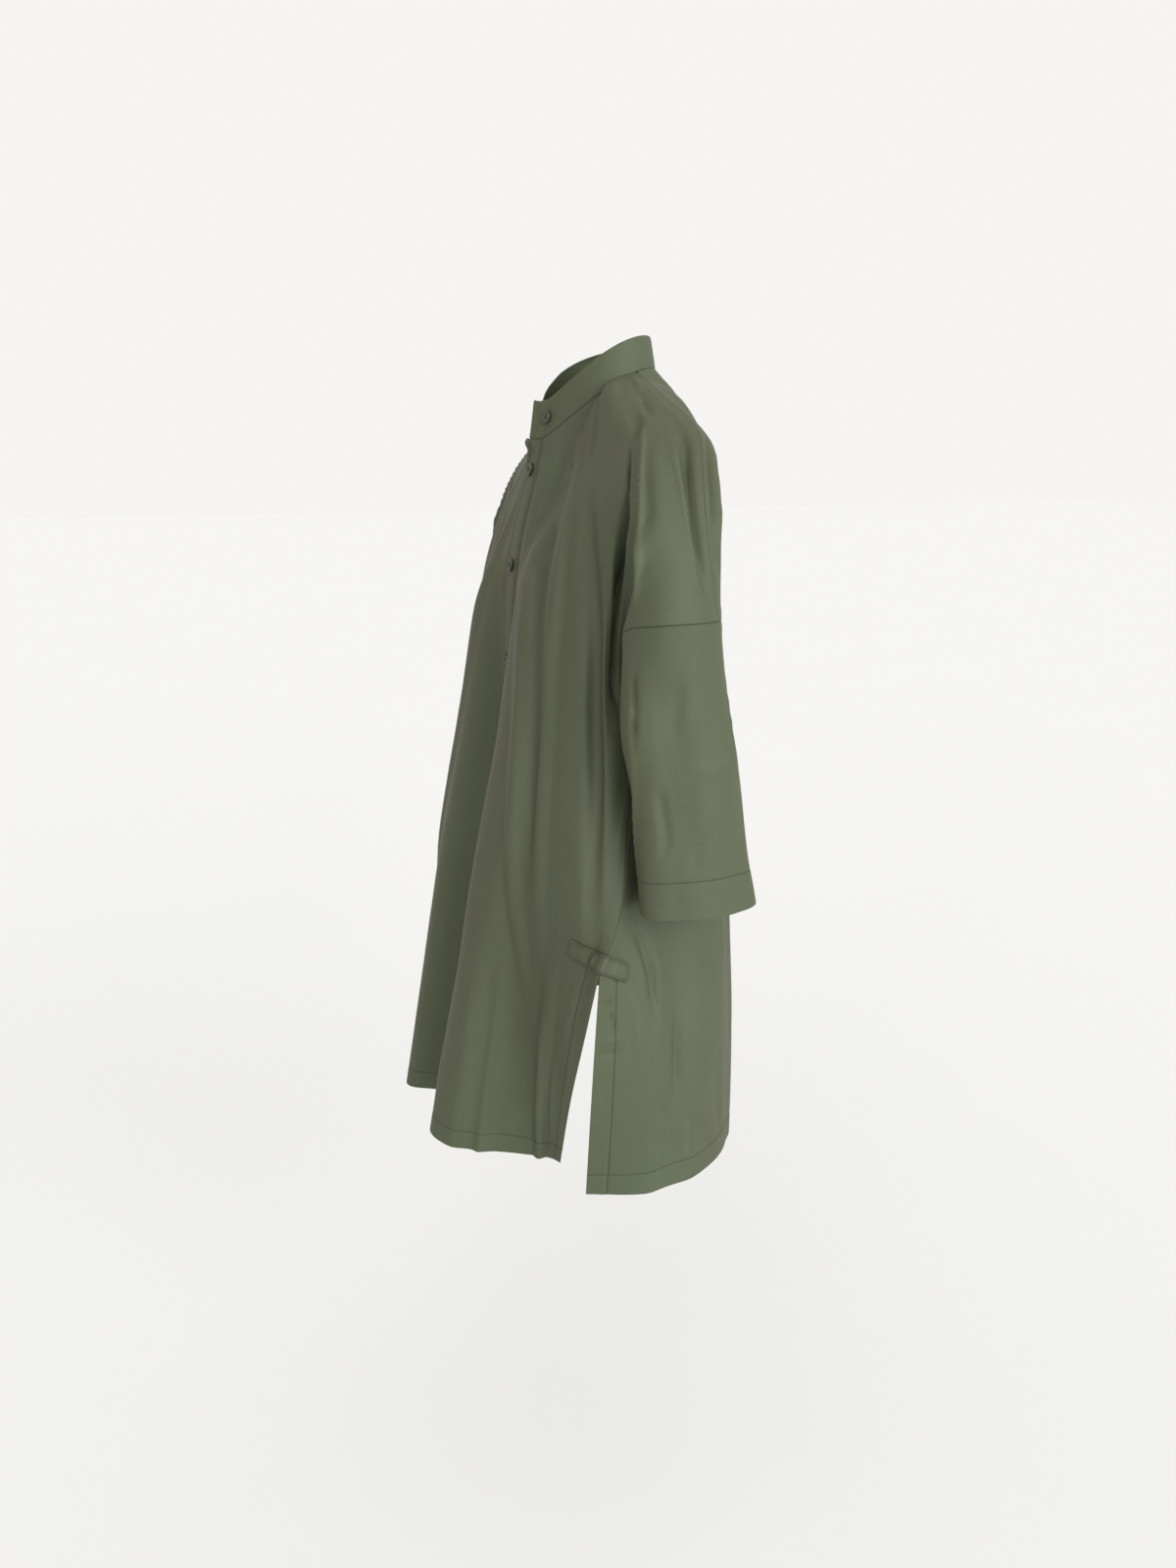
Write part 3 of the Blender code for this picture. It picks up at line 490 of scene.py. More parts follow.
    def panel(self, us: np.ndarray, vs: np.ndarray, is_front: bool) -> np.ndarray:
        """Work out a panel's smooth form before its folds.

        Args:
            us: Columns, from -1 to 1.
            vs: Rows, from 0 to 1.
            is_front: Whether it is the front.

        Returns:
            The points, a row for each v and a column for each u.
        """
        stations = self.front_stations if is_front else self.back_stations
        sections = self.front_sections if is_front else self.back_sections
        neck_u = self.front_neck_u if is_front else self.back_neck_u
        centre = -math.pi / 2 if is_front else math.pi / 2
        armhole = self.armhole_front if is_front else self.armhole_back
        vent = self.vent_front if is_front else self.vent_back
        leans = self.front_leans if is_front else (0.0,) * len(stations)
        knots_u = np.array(stations + (1.0,))
        knots_v = np.array((0.0,) + tuple(s[0] for s in sections))
        net = np.array([s[1:] for s in sections], float)
        if is_front:
            beside = net[:, :1] + np.array([self.placket_half_width, 0, 0])
            knots_u = np.insert(knots_u, 1, self.placket_u)
            net = np.concatenate([net[:, :1], beside, net[:, 1:]], axis=1)
            leans = leans[:1] + leans
        leaning = ease((net[..., 2] - self.lean_from) / (self.lean_to - self.lean_from))
        leaning = self.lean * leaning * np.array(leans)
        shift = np.stack([leaning, 0 * leaning, 0 * leaning], axis=-1)
        edge = self.outer_edge(knots_v[1:], armhole, vent)[:, None]
        top = self.top_edge(knots_u, neck_u, centre)[None]
        left = np.concatenate([top, np.concatenate([net + shift, edge], axis=1)])
        right = np.concatenate([top, np.concatenate([net - shift, edge], axis=1)])
        whole = np.concatenate([mirrored(right[:, :0:-1]), left], axis=1)
        both = np.concatenate([-knots_u[:0:-1], knots_u])
        rows = smooth_curve(knots_v, whole, vs).swapaxes(0, 1)
        top_fade = (1 - ease(np.asarray(vs) / self.top_ease))[:, None, None]

        def below_top(at: np.ndarray) -> np.ndarray:
            """Return the net's smooth surface, led into the neck and shoulder seam at its top."""
            sides = np.where(at < 0, -1.0, 1.0)[:, None]
            wanted = self.top_edge(np.abs(at), neck_u, centre)
            wanted = wanted * np.concatenate([sides, np.ones((len(at), 2))], axis=1)
            off = wanted - smooth_curve(both, whole[0], at)
            return smooth_curve(both, rows, at).swapaxes(0, 1) + top_fade * off

        points = below_top(us)
        for sign in (1.0, -1.0):
            wanted = self.outer_edge(vs, armhole, vent) * np.array([sign, 1, 1])
            off = wanted - below_top(np.array([sign]))[:, 0]
            points = points + off[:, None] * (1 - ease((1 - sign * us) / self.edge_ease))[:, None]
        return points

    def front(self, us: np.ndarray, vs: np.ndarray) -> np.ndarray:
        """Return the points of the front at these columns and rows."""
        points = self.folded(self.panel(us, vs, True), us, vs, self.front_folds, self.front_turn, -1)
        return self.settled(points)

    def back(self, us: np.ndarray, vs: np.ndarray) -> np.ndarray:
        """Return the points of the back at these columns and rows."""
        points = self.folded(self.panel(us, vs, False), us, vs, self.back_folds, self.back_turn, 1)
        return self.settled(points)

    def sleeve(self, turns: np.ndarray, down: np.ndarray, side: Side) -> np.ndarray:
        """Work out a sleeve.

        Args:
            turns: Shares of the way round, from the shoulder seam past the front.
            down: Shares of the way down to the cuff.
            side: Which sleeve it is.

        Returns:
            The points, a row for each level and a column for each turn.
        """
        turns = np.mod(turns, 1.0)
        to_front = np.clip(turns / self.ring_underarm, 0, 1)
        to_back = np.clip((1 - turns) / (1 - self.ring_underarm), 0, 1)
        in_front = (turns <= self.ring_underarm)[:, None]
        armhole = np.where(in_front, along(self.armhole_front, to_front), along(self.armhole_back, to_back))
        angle = self.ring_start - 2 * math.pi * turns
        rows = [armhole]
        for ring in self.sleeve_rings:
            level = (ring.outer_level + ring.inner_level) / 2
            tilt = (ring.outer_level - ring.inner_level) / 2
            rows.append(np.stack([ring.x + ring.half_x * np.cos(angle),
                                  ring.y + ring.half_y * np.sin(angle),
                                  level + tilt * np.cos(angle)], axis=-1))
        points = smooth_curve((0.0,) + tuple(r.t for r in self.sleeve_rings), rows, down)
        outwards = np.stack([np.cos(angle), np.sin(angle), 0 * angle], axis=-1)
        for fold in self.sleeve_folds:
            off = np.remainder(math.radians(fold.degrees) + angle + math.pi, 2 * math.pi) - math.pi
            share = (down - fold.t_top) / (fold.t_low - fold.t_top)
            grown = ease(share / self.fold_fade) * ease((1 - share) / self.fold_fade)
            height = fold.depth * np.outer(grown, bump(off, math.radians(fold.half_degrees)))
            points = points + height[..., None] * outwards
        return points if side is Side.LEFT else self.settled(mirrored(points))

    def lap(self, us: np.ndarray) -> np.ndarray:
        """Return how far out the upper placket lies at u."""
        return self.placket_lap * ease((self.placket_u - us) / (0.8 * self.placket_u))

    def placket(self, us: np.ndarray, vs: np.ndarray, side: Side) -> np.ndarray:
        """Return the points of the upper placket (left) or of the lower one (right)."""
        out = self.lap(us) if side is Side.LEFT else -self.lap(-us)
        return self.front(us, vs) - out[None, :, None] * BACKWARDS

    def band(self, front_us: np.ndarray, back_angles: np.ndarray, up_shares: np.ndarray) -> np.ndarray:
        """Work out the standing band, from its upper end round the neck to its lower end.

        Args:
            front_us: The front's columns that it passes, up to the shoulder seam.
            back_angles: Angles from the shoulder seam to the centre back.
            up_shares: Shares of its height, from 1 at its top edge to 0 at its seam.

        Returns:
            The points, a row for each share.
        """
        share = front_us / self.front_neck_u
        angle = -math.pi / 2 + (self.neck_side_angle + math.pi / 2) * share
        half = np.concatenate([angle, back_angles[1:]])
        over = self.lap(np.concatenate([front_us, np.ones(len(back_angles) - 1)]))
        out = over[:, None] * BACKWARDS
        left = self.neckline(half) - out
        right = (mirrored(self.neckline(half)) + out)[::-1]
        seam = self.settled(np.concatenate([left, right[1:]]))
        inward = unit(-seam * np.array([1.0, 1.0, 0.0]))
        forward = ease((self.neck_half_depth - seam[:, 1]) / (2 * self.neck_half_depth))
        height = self.band_height_back + (self.band_height_front - self.band_height_back) * forward
        rise = inward * self.band_lean + height[:, None] * UPWARDS
        return seam[None] + rise[None] * up_shares[:, None, None]

    def vent_tab(self, shares: np.ndarray, across: np.ndarray, side: Side) -> np.ndarray:
        """Work out the tab over a side vent, with its middle drawn up into soft folds.

        Args:
            shares: Shares of its length, from its end on the front to its end on the back.
            across: Places across it, from -1 at its upper edge to 1 at its lower one.
            side: Which vent it lies over.

        Returns:
            The points, a row for each place across.
        """
        rows = across * self.tab_half_height_v
        spots = []
        for point in self.tab:
            surface, facing = (self.back, 1) if point.on_back else (self.front, -1)
            patch = surface(side.value * (np.array([-0.01, 0.0]) + point.u), point.v + rows)
            normal = np.cross(patch[:, 1] - patch[:, 0], patch[-1, 1] - patch[0, 1])
            spots.append(patch[:, 1] + unit(side.value * facing * normal) * self.tab_lift)
        points = smooth_curve([p.at for p in self.tab], spots, shares).swapaxes(0, 1)
        faces = -side.value * np.cross(np.gradient(points, axis=1), np.gradient(points, axis=0))
        drawn_up = np.sin(math.pi * self.tab_folds * shares) ** 2 * np.sin(math.pi * shares)
        return points + unit(faces) * (self.tab_bunch * drawn_up)[None, :, None]


# ---------------------------------------------------------------- sheets of cloth
@dataclass
class Cloth:
    """A grid of points on a piece of cloth, with the places that its rows and columns stand for."""

    points: np.ndarray
    columns: np.ndarray
    rows: np.ndarray
    facing: int
    closed: bool = False
    across: np.ndarray = field(init=False)
    down: np.ndarray = field(init=False)
    relief: np.ndarray = field(init=False)
    lines: np.ndarray = field(init=False)

    def __post_init__(self) -> None:
        """Measure the cloth along its columns and rows."""
        self.relief = np.zeros(self.points.shape[:2])
        self.lines = np.zeros(self.points.shape[:2])
        self.across = self.lengths(1)
        middle = int(np.argmin(np.abs(self.columns)))
        self.across = self.across - self.across[:, middle:middle + 1]
        self.down = self.lengths(0)

    def lengths(self, axis: int) -> np.ndarray:
        """Return the length of cloth from the first row or column to each point."""
        steps = np.linalg.norm(np.diff(self.points, axis=axis), axis=-1)
        start = np.zeros_like(np.take(steps, [0], axis=axis))
        return np.concatenate([start, np.cumsum(steps, axis=axis)], axis=axis)

    def normals(self) -> np.ndarray:
        """Return the outward direction at each point."""
        across = np.gradient(self.points, axis=1)
        if self.closed:
            ends = self.points[:, 1] - self.points[:, -2]
            across[:, 0] = ends
            across[:, -1] = ends
        return unit(self.facing * np.cross(across, np.gradient(self.points, axis=0)))

    def read(self, grid: np.ndarray, u: np.ndarray, v: np.ndarray) -> np.ndarray:
        """Read a grid of values between its points.

        Args:
            grid: Values at the cloth's points.
            u: Columns to read at.
            v: Rows to read at.

        Returns:
            A value for each pair of u and v.
        """
        column = np.interp(u, self.columns, np.arange(len(self.columns)))
        row = np.interp(v, self.rows, np.arange(len(self.rows)))
        c, r = np.floor(column).astype(int), np.floor(row).astype(int)
        c, r = np.minimum(c, len(self.columns) - 2), np.minimum(r, len(self.rows) - 2)
        shape = (-1,) + (1,) * (grid.ndim - 2)
        x, y = (column - c).reshape(shape), (row - r).reshape(shape)
        upper = grid[r, c] * (1 - x) + grid[r, c + 1] * x
        lower = grid[r + 1, c] * (1 - x) + grid[r + 1, c + 1] * x
        return upper * (1 - y) + lower * y

    def from_edges(self) -> tuple[np.ndarray, np.ndarray, np.ndarray, np.ndarray]:
        """Return the distances from the top, the bottom, the first and the last column."""
        return (self.down, self.down[-1:] - self.down,
                self.across - self.across[:, :1], self.across[:, -1:] - self.across)

    def wrinkled(self, wrinkles: tuple[Wrinkle, ...]) -> np.ndarray:
        """Return the height that the listed creases give each point."""
        return sum((self.one_wrinkle(wrinkle) for wrinkle in wrinkles), np.zeros(self.points.shape[:2]))

    def one_wrinkle(self, wrinkle: Wrinkle) -> np.ndarray:
        """Return the height that one crease gives each point, fading over about a third of it at each end."""
        path = np.array(wrinkle.path, float)
        if len(path) > 2:
            fine = np.linspace(0, 1, 8 * len(path))
            path = smooth_curve(np.linspace(0, 1, len(path)), path, fine)
        way = np.stack([self.read(self.across, path[:, 0], path[:, 1]),
                        self.read(self.down, path[:, 0], path[:, 1])], axis=-1)
        half = wrinkle.half_width * MM
        flat = np.stack([self.across, self.down], axis=-1)
        near = np.all((flat > way.min(axis=0) - half) & (flat < way.max(axis=0) + half), axis=-1)
        share, signed = nearest_on(way, flat[near])
        grown = np.minimum(ease(share / 0.35), ease((1 - share) / 0.35))
        height = np.zeros(self.points.shape[:2])
        height[near] = wrinkle.depth * MM * wrinkle.profile.cut(signed / half) * grown
        return height

    def uneven(self, seed: float, sizes: tuple[tuple[float, float], ...]) -> np.ndarray:
        """Return a soft unevenness of the cloth.

        Args:
            seed: A shift that makes one piece differ from the next.
            sizes: Pairs of a spacing and a height, in millimetres.

        Returns:
            The height at each point.
        """
        height = np.zeros(self.points.shape[:2])
        for spacing, amount in sizes:
            flat = np.stack([self.across, self.down * 0.45], axis=-1) / (spacing * MM)
            values = [noise.noise(Vector((x, y, seed))) for x, y in flat.reshape(-1, 2)]
            height += amount * MM * np.array(values).reshape(height.shape)
        return height

    def raise_by(self, height: np.ndarray) -> None:
        """Move the points out by a height at each, and keep it as the cloth's relief."""
        self.points = self.points + height[..., None] * self.normals()
        self.relief = self.relief + height

    def stand_forward(self, out: np.ndarray) -> None:
        """Move the points forward, away from the wearer, by a distance at each."""
        self.points = self.points - out[..., None] * BACKWARDS

    def mark(self, distance: np.ndarray, strength: float | np.ndarray = 1.0) -> None:
        """Darken the cloth along a needle line or a seam at this distance from each point."""
        line = strength * bump(distance, 1.7 * MM)
        self.lines = np.maximum(self.lines, np.broadcast_to(line, self.lines.shape))

    def make(self, name: str, thickness: float, material: bpy.types.Material) -> bpy.types.Object:
        """Make the cloth as a thin wall.

        Args:
            name: The piece's name.
            thickness: The thickness of the cloth.
            material: What it is woven of.

        Returns:
            The piece, with its weave's coordinates in metres.
        """
        rows, columns = self.points.shape[:2]
        mesh = bmesh.new()
        weave = mesh.loops.layers.uv.new("weave")
        bmesh.ops.create_grid(mesh, x_segments=columns - 1, y_segments=rows - 1, size=1)
        mesh.verts.ensure_lookup_table()
        flat = np.stack([self.across, -self.down], axis=-1).reshape(-1, 2)
        for face in mesh.faces:
            for loop in face.loops:
                loop[weave].uv = flat[loop.vert.index]
        for vert, place in zip(mesh.verts, self.points.reshape(-1, 3)):
            vert.co = place
        for layer_name, values in self.shades().items():
            layer = mesh.verts.layers.float.new(layer_name)
            for vert, value in zip(mesh.verts, values.reshape(-1)):
                vert[layer] = value
        if self.facing < 0:
            bmesh.ops.reverse_faces(mesh, faces=mesh.faces[:])
        if self.closed:
            bmesh.ops.remove_doubles(mesh, verts=mesh.verts[:], dist=0.01 * MM)
        piece = as_object(name, mesh, material)
        wall = piece.modifiers.new("cloth", "SOLIDIFY")
        wall.thickness = thickness
        wall.offset = 0.0
        return piece

    def shades(self) -> dict[str, np.ndarray]:
        """Return what the finish reads at each point: relief, sewn lines and how far it faces sideways, which
        it turns into a painted highlight, painted shadow and painted shade.
        """
        sideways = np.abs(self.normals()[..., 0])
        return {"relief": self.relief / MM, "sideways": sideways, "sewn": self.lines}


def nearest_on(way: np.ndarray, spots: np.ndarray) -> tuple[np.ndarray, np.ndarray]:
    """Find the place on a jointed line that lies nearest to each spot.

    Args:
        way: The line's corners on the flat cloth.
        spots: Places on the flat cloth.

    Returns:
        The share of the line's length at each spot, and its distance, below 0 on the line's other side.
    """
    best = np.full(len(spots), 9.0)
    share, signed = np.zeros(len(spots)), np.zeros(len(spots))
    lengths = np.concatenate([[0], np.cumsum(np.linalg.norm(np.diff(way, axis=0), axis=1))])
    for begun, start, end in zip(lengths, way[:-1], way[1:]):
        run = end - start
        reach = max(float(run @ run), 1e-12)
        t = np.clip((spots - start) @ run / reach, 0, 1)
        off = spots - start - t[:, None] * run
        distance = np.linalg.norm(off, axis=1)
        closer = distance < best
        best[closer] = distance[closer]
        share[closer] = (begun + t[closer] * math.sqrt(reach)) / lengths[-1]
        turned = run[0] * off[:, 1] - run[1] * off[:, 0]
        signed[closer] = np.where(turned[closer] < 0, -1, 1) * distance[closer]
    return share, signed


def seam_ridge(distance: np.ndarray, rise: float, allowance: float) -> np.ndarray:
    """Return how far cloth stands up over a seam's allowance, at a distance from its line."""
    return rise * (ease(distance / (1.4 * MM)) * (1 - ease((distance - allowance) / (4 * MM))))


def dimple(distance: np.ndarray, depth: float) -> np.ndarray:
    """Return how far a row of stitches draws the cloth in, at a distance from the row."""
    return -depth * bump(distance, 2.2 * MM)


def placed(name: str, data: bpy.types.ID) -> bpy.types.Object:
    """Add an object with this data to the scene."""
    thing = bpy.data.objects.new(name, data)
    bpy.context.scene.collection.objects.link(thing)
    return thing


def as_object(name: str, mesh: bmesh.types.BMesh, material: bpy.types.Material) -> bpy.types.Object:
    """Turn a bmesh into a smooth object of the scene and free it."""
    data = bpy.data.meshes.new(name)
    mesh.to_mesh(data)
    mesh.free()
    data.materials.append(material)
    data.shade_smooth()
    return placed(name, data)


# ---------------------------------------------------------------- finishes
def linear(code: str, strength: float = 1.0) -> tuple[float, float, float, float]:
    """Turn an sRGB hex colour into a linear one."""
    channels = [int(code[i:i + 2], 16) / 255 for i in (1, 3, 5)]
    levels = [c / 12.92 if c <= 0.04045 else ((c + 0.055) / 1.055) ** 2.4 for c in channels]
    return tuple(strength * level for level in levels) + (1.0,)


def dress(tree: bpy.types.NodeTree, node: bpy.types.Node, settings: dict, links: dict) -> bpy.types.Node:
    """Give a node its settings and links.

    Args:
        tree: The material's nodes.
        node: The node.
        settings: Its properties, or values of its inputs by name or number.
        links: Outputs of other nodes that its inputs take, by name or number.

    Returns:
        The node.
    """
    for key, value in settings.items():
        if isinstance(key, str) and hasattr(node, key):
            setattr(node, key, value)
        else:
            node.inputs[key].default_value = value
    for key, output in links.items():
        tree.links.new(output, node.inputs[key])
    return node


def add_node(tree: bpy.types.NodeTree, kind: str, settings: dict | None = None,
             links: dict | None = None) -> bpy.types.Node:
    """Add a node of a kind, with its settings and links as dress() takes them."""
    return dress(tree, tree.nodes.new(kind), settings or {}, links or {})


def new_material(name: str) -> tuple[bpy.types.Material, bpy.types.NodeTree, bpy.types.Node]:
    """Return a new material with its nodes and its shader."""
    material = bpy.data.materials.new(name)
    material.use_nodes = True
    tree = material.node_tree
    return material, tree, tree.nodes["Principled BSDF"]


def wave_scale(spacing_mm: float) -> float:
    """Return the scale at which a wave texture's bands lie this far apart."""
    return 1 / (spacing_mm * MM) / 10 * math.pi


@dataclass(frozen=True)
class ShotPoplin:
    """Crisp cotton poplin, woven with a green warp and a brown weft, then calendered to a low sheen."""

    name: str = "shot_cotton_poplin"
    green: str = "#454D39"
    brown: str = "#474531"
    # a paler colour painted on the tops of ridges: a painted highlight
    ridge_highlight: str = "#5B614A"
    bloom: str = "#A7B08A"
    thread_mm: float = 1.3  # real threads are 0.2 mm apart, too fine to show, so they are drawn wider
    slub_mm: float = 2.2
    slub_length: float = 30.0
    dye_patch: float = 1 / 7  # metres from one patch of uneven dye to the next
    painted_shade_ahead: float = 0.62  # the brown weft's share, painted shade, where the cloth faces forward, and below, to the side
    painted_shade_aside: float = 0.15
    roughness: float = 0.62
    sheen: float = 0.06
    gloss: float = 0.32
    weave_bump: float = 0.10
    sewn_shadow: float = 0.45  # the cloth is drawn in and darker along its stitches and seams

    def make(self) -> bpy.types.Material:
        """Build the material: warp and weft along the cloth, slubs, uneven dye, a soft sheen, painted shade
        and sheen by the way the cloth faces, and a painted highlight on ridge tops.
        """
        material, tree, shader = new_material(self.name)
        place = add_node(tree, "ShaderNodeTexCoord").outputs["Object"]
        weave = add_node(tree, "ShaderNodeUVMap", {"uv_map": "weave"}).outputs["UV"]
        sideways, relief, sewn = (
            add_node(tree, "ShaderNodeAttribute", {"attribute_name": layer}).outputs["Fac"]
            for layer in ("sideways", "relief", "sewn"))
        # Threads run both ways over the cut, and slubs are long thick places in some of them.
        warp, weft = (add_node(tree, "ShaderNodeTexWave", {
            "bands_direction": direction, "Scale": wave_scale(self.thread_mm), "Distortion": 1.2,
            "Detail": 2.0, "Detail Scale": 1.5}, {"Vector": weave}) for direction in ("X", "Y"))
        woven = add_node(tree, "ShaderNodeMath", {"operation": "ADD"},
                         {0: warp.outputs["Fac"], 1: weft.outputs["Fac"]})
        fine, long = 1 / (self.slub_mm * MM), 1 / (self.slub_mm * self.slub_length * MM)
        runs = []
        for size in ((fine, long, 1), (long, fine, 1)):
            spots = add_node(tree, "ShaderNodeMapping", {"Scale": size}, {"Vector": weave})
            runs.append(add_node(tree, "ShaderNodeTexNoise", {
                "Scale": 1.0, "Detail": 3.0, "Roughness": 0.6}, {"Vector": spots.outputs["Vector"]}))
        slubs = add_node(tree, "ShaderNodeMath", {"operation": "ADD"},
                         {0: runs[0].outputs["Fac"], 1: runs[1].outputs["Fac"]})
        # Each way that it faces is painted with more of one colour of thread: browner where the cloth faces
        # forward, a painted shade, and greener where it faces sideways, a painted sheen. The dye took
        # unevenly.
        turned = add_node(tree, "ShaderNodeMapRange", {
            "From Min": 0.15, "From Max": 0.95, "To Min": self.painted_shade_ahead, "To Max": self.painted_shade_aside},
            {"Value": sideways})
        dye = add_node(tree, "ShaderNodeTexNoise", {
            "Scale": 1 / self.dye_patch, "Detail": 4.0, "Roughness": 0.55}, {"Vector": place})
        drift = add_node(tree, "ShaderNodeMath", {"operation": "MULTIPLY_ADD", 1: 0.9, 2: -0.45},
                         {0: dye.outputs["Fac"]})
        # Painted shade and sheen by facing, plus the dye's uneven drift.
        shot = add_node(tree, "ShaderNodeMath", {"operation": "ADD", "use_clamp": True},
                        {0: turned.outputs["Result"], 1: drift.outputs["Value"]})
        base = add_node(tree, "ShaderNodeMix", {
            "data_type": "RGBA", 6: linear(self.green), 7: linear(self.brown)}, {0: shot.outputs["Value"]})
        streak = add_node(tree, "ShaderNodeMapRange", {
            "From Min": 0.6, "From Max": 1.4, "To Min": 0.90, "To Max": 1.10},
            {"Value": slubs.outputs["Value"]})
        streaked = add_node(tree, "ShaderNodeVectorMath", {"operation": "SCALE"},
                            {0: base.outputs[2], "Scale": streak.outputs["Result"]})
        # The tops of ridges are painted paler, a painted highlight, and needle lines and seams lie in shadow.
        painted_highlight = add_node(tree, "ShaderNodeMapRange", {
            "From Min": 0.8, "From Max": 3.0, "To Min": 0.0, "To Max": 0.22}, {"Value": relief})
        colour = add_node(tree, "ShaderNodeMix", {"data_type": "RGBA", 7: linear(self.ridge_highlight)},
                          {0: painted_highlight.outputs["Result"], 6: streaked.outputs["Vector"]})
        shadow = add_node(tree, "ShaderNodeMath", {
            "operation": "MULTIPLY_ADD", 1: -self.sewn_shadow, 2: 1.0}, {0: sewn})
        shaded = add_node(tree, "ShaderNodeVectorMath", {"operation": "SCALE"},
                          {0: colour.outputs[2], "Scale": shadow.outputs["Value"]})
        height = add_node(tree, "ShaderNodeMath", {"operation": "MULTIPLY_ADD", 1: 0.6},
                          {0: slubs.outputs["Value"], 2: woven.outputs["Value"]})
        grain = add_node(tree, "ShaderNodeBump", {"Strength": self.weave_bump, "Distance": 0.4 * MM},
                         {"Height": height.outputs["Value"]})
        dress(tree, shader, {
            "Roughness": self.roughness, "IOR": 1.47, "Specular IOR Level": self.gloss,
            "Sheen Weight": self.sheen, "Sheen Roughness": 0.45, "Sheen Tint": linear(self.bloom)},
            {"Base Color": shaded.outputs["Vector"], "Normal": grain.outputs["Normal"]})
        return material


@dataclass(frozen=True)
class SpunThread:
    """Spun polyester sewing thread, dyed to match, that takes the light a little less than the cloth."""

    name: str = "spun_polyester_thread"
    colour: str = "#30331F"
    twist_mm: float = 0.6

    def make(self) -> bpy.types.Material:
        """Build the material: a twist along the thread under a matte colour."""
        material, tree, shader = new_material(self.name)
        place = add_node(tree, "ShaderNodeTexCoord").outputs["Object"]
        twist = add_node(tree, "ShaderNodeTexWave", {
            "bands_direction": "DIAGONAL", "Scale": wave_scale(self.twist_mm)}, {"Vector": place})
        shade = add_node(tree, "ShaderNodeMix", {
            "data_type": "RGBA", 6: linear(self.colour, 0.8), 7: linear(self.colour, 1.15)},
            {0: twist.outputs["Fac"]})
        dress(tree, shader, {"Roughness": 0.6}, {"Base Color": shade.outputs[2]})
        return material


@dataclass(frozen=True)
class ResinButton:
    """Polyester resin, turned on a lathe and tumbled, with cloudy streaks like horn."""

    name: str = "turned_polyester_resin"
    dark: str = "#26281A"
    light: str = "#454830"
    cloud_mm: float = 5.0
    grain_mm: float = 1 / 1.8  # tumbling grit leaves finer marks, which would not show

    def make(self) -> bpy.types.Material:
        """Build the material: cloudy streaks, a fine grain and a satin gloss."""
        material, tree, shader = new_material(self.name)
        place = add_node(tree, "ShaderNodeTexCoord").outputs["Object"]
        cloud = add_node(tree, "ShaderNodeTexNoise", {
            "Scale": 1 / (self.cloud_mm * MM), "Detail": 4.0, "Roughness": 0.6, "Distortion": 0.8},
            {"Vector": place})
        spot = add_node(tree, "ShaderNodeMapRange", {"From Min": 0.35, "From Max": 0.68},
                        {"Value": cloud.outputs["Fac"]})
        colour = add_node(tree, "ShaderNodeMix", {
            "data_type": "RGBA", 6: linear(self.dark), 7: linear(self.light)}, {0: spot.outputs["Result"]})
        grain = add_node(tree, "ShaderNodeTexNoise", {"Scale": 1 / (self.grain_mm * MM), "Detail": 2.0},
                         {"Vector": place})
        marks = add_node(tree, "ShaderNodeBump", {"Strength": 0.05, "Distance": 0.1 * MM},
                         {"Height": grain.outputs["Fac"]})
        dress(tree, shader, {"Roughness": 0.48, "IOR": 1.55},
              {"Base Color": colour.outputs[2], "Normal": marks.outputs["Normal"]})
        return material


@dataclass(frozen=True)
class PaleFloor:
    """A matte painted studio floor, as pale as the backdrop under the studio's light."""

    name: str = "matte_studio_paint"
    colour: str = "#E0E0DF"
    patch: float = 0.5  # metres from one mottle to the next

    def make(self) -> bpy.types.Material:
        """Build the material: a matte off-white with faint mottling."""
        material, tree, shader = new_material(self.name)
        place = add_node(tree, "ShaderNodeTexCoord").outputs["Object"]
        mottle = add_node(tree, "ShaderNodeTexNoise", {"Scale": 1 / self.patch}, {"Vector": place})
        shade = add_node(tree, "ShaderNodeMix", {
            "data_type": "RGBA", 6: linear(self.colour, 0.99), 7: linear(self.colour)},
            {0: mottle.outputs["Fac"]})
        dress(tree, shader, {"Roughness": 1.0, "Specular IOR Level": 0.0}, {"Base Color": shade.outputs[2]})
        return material


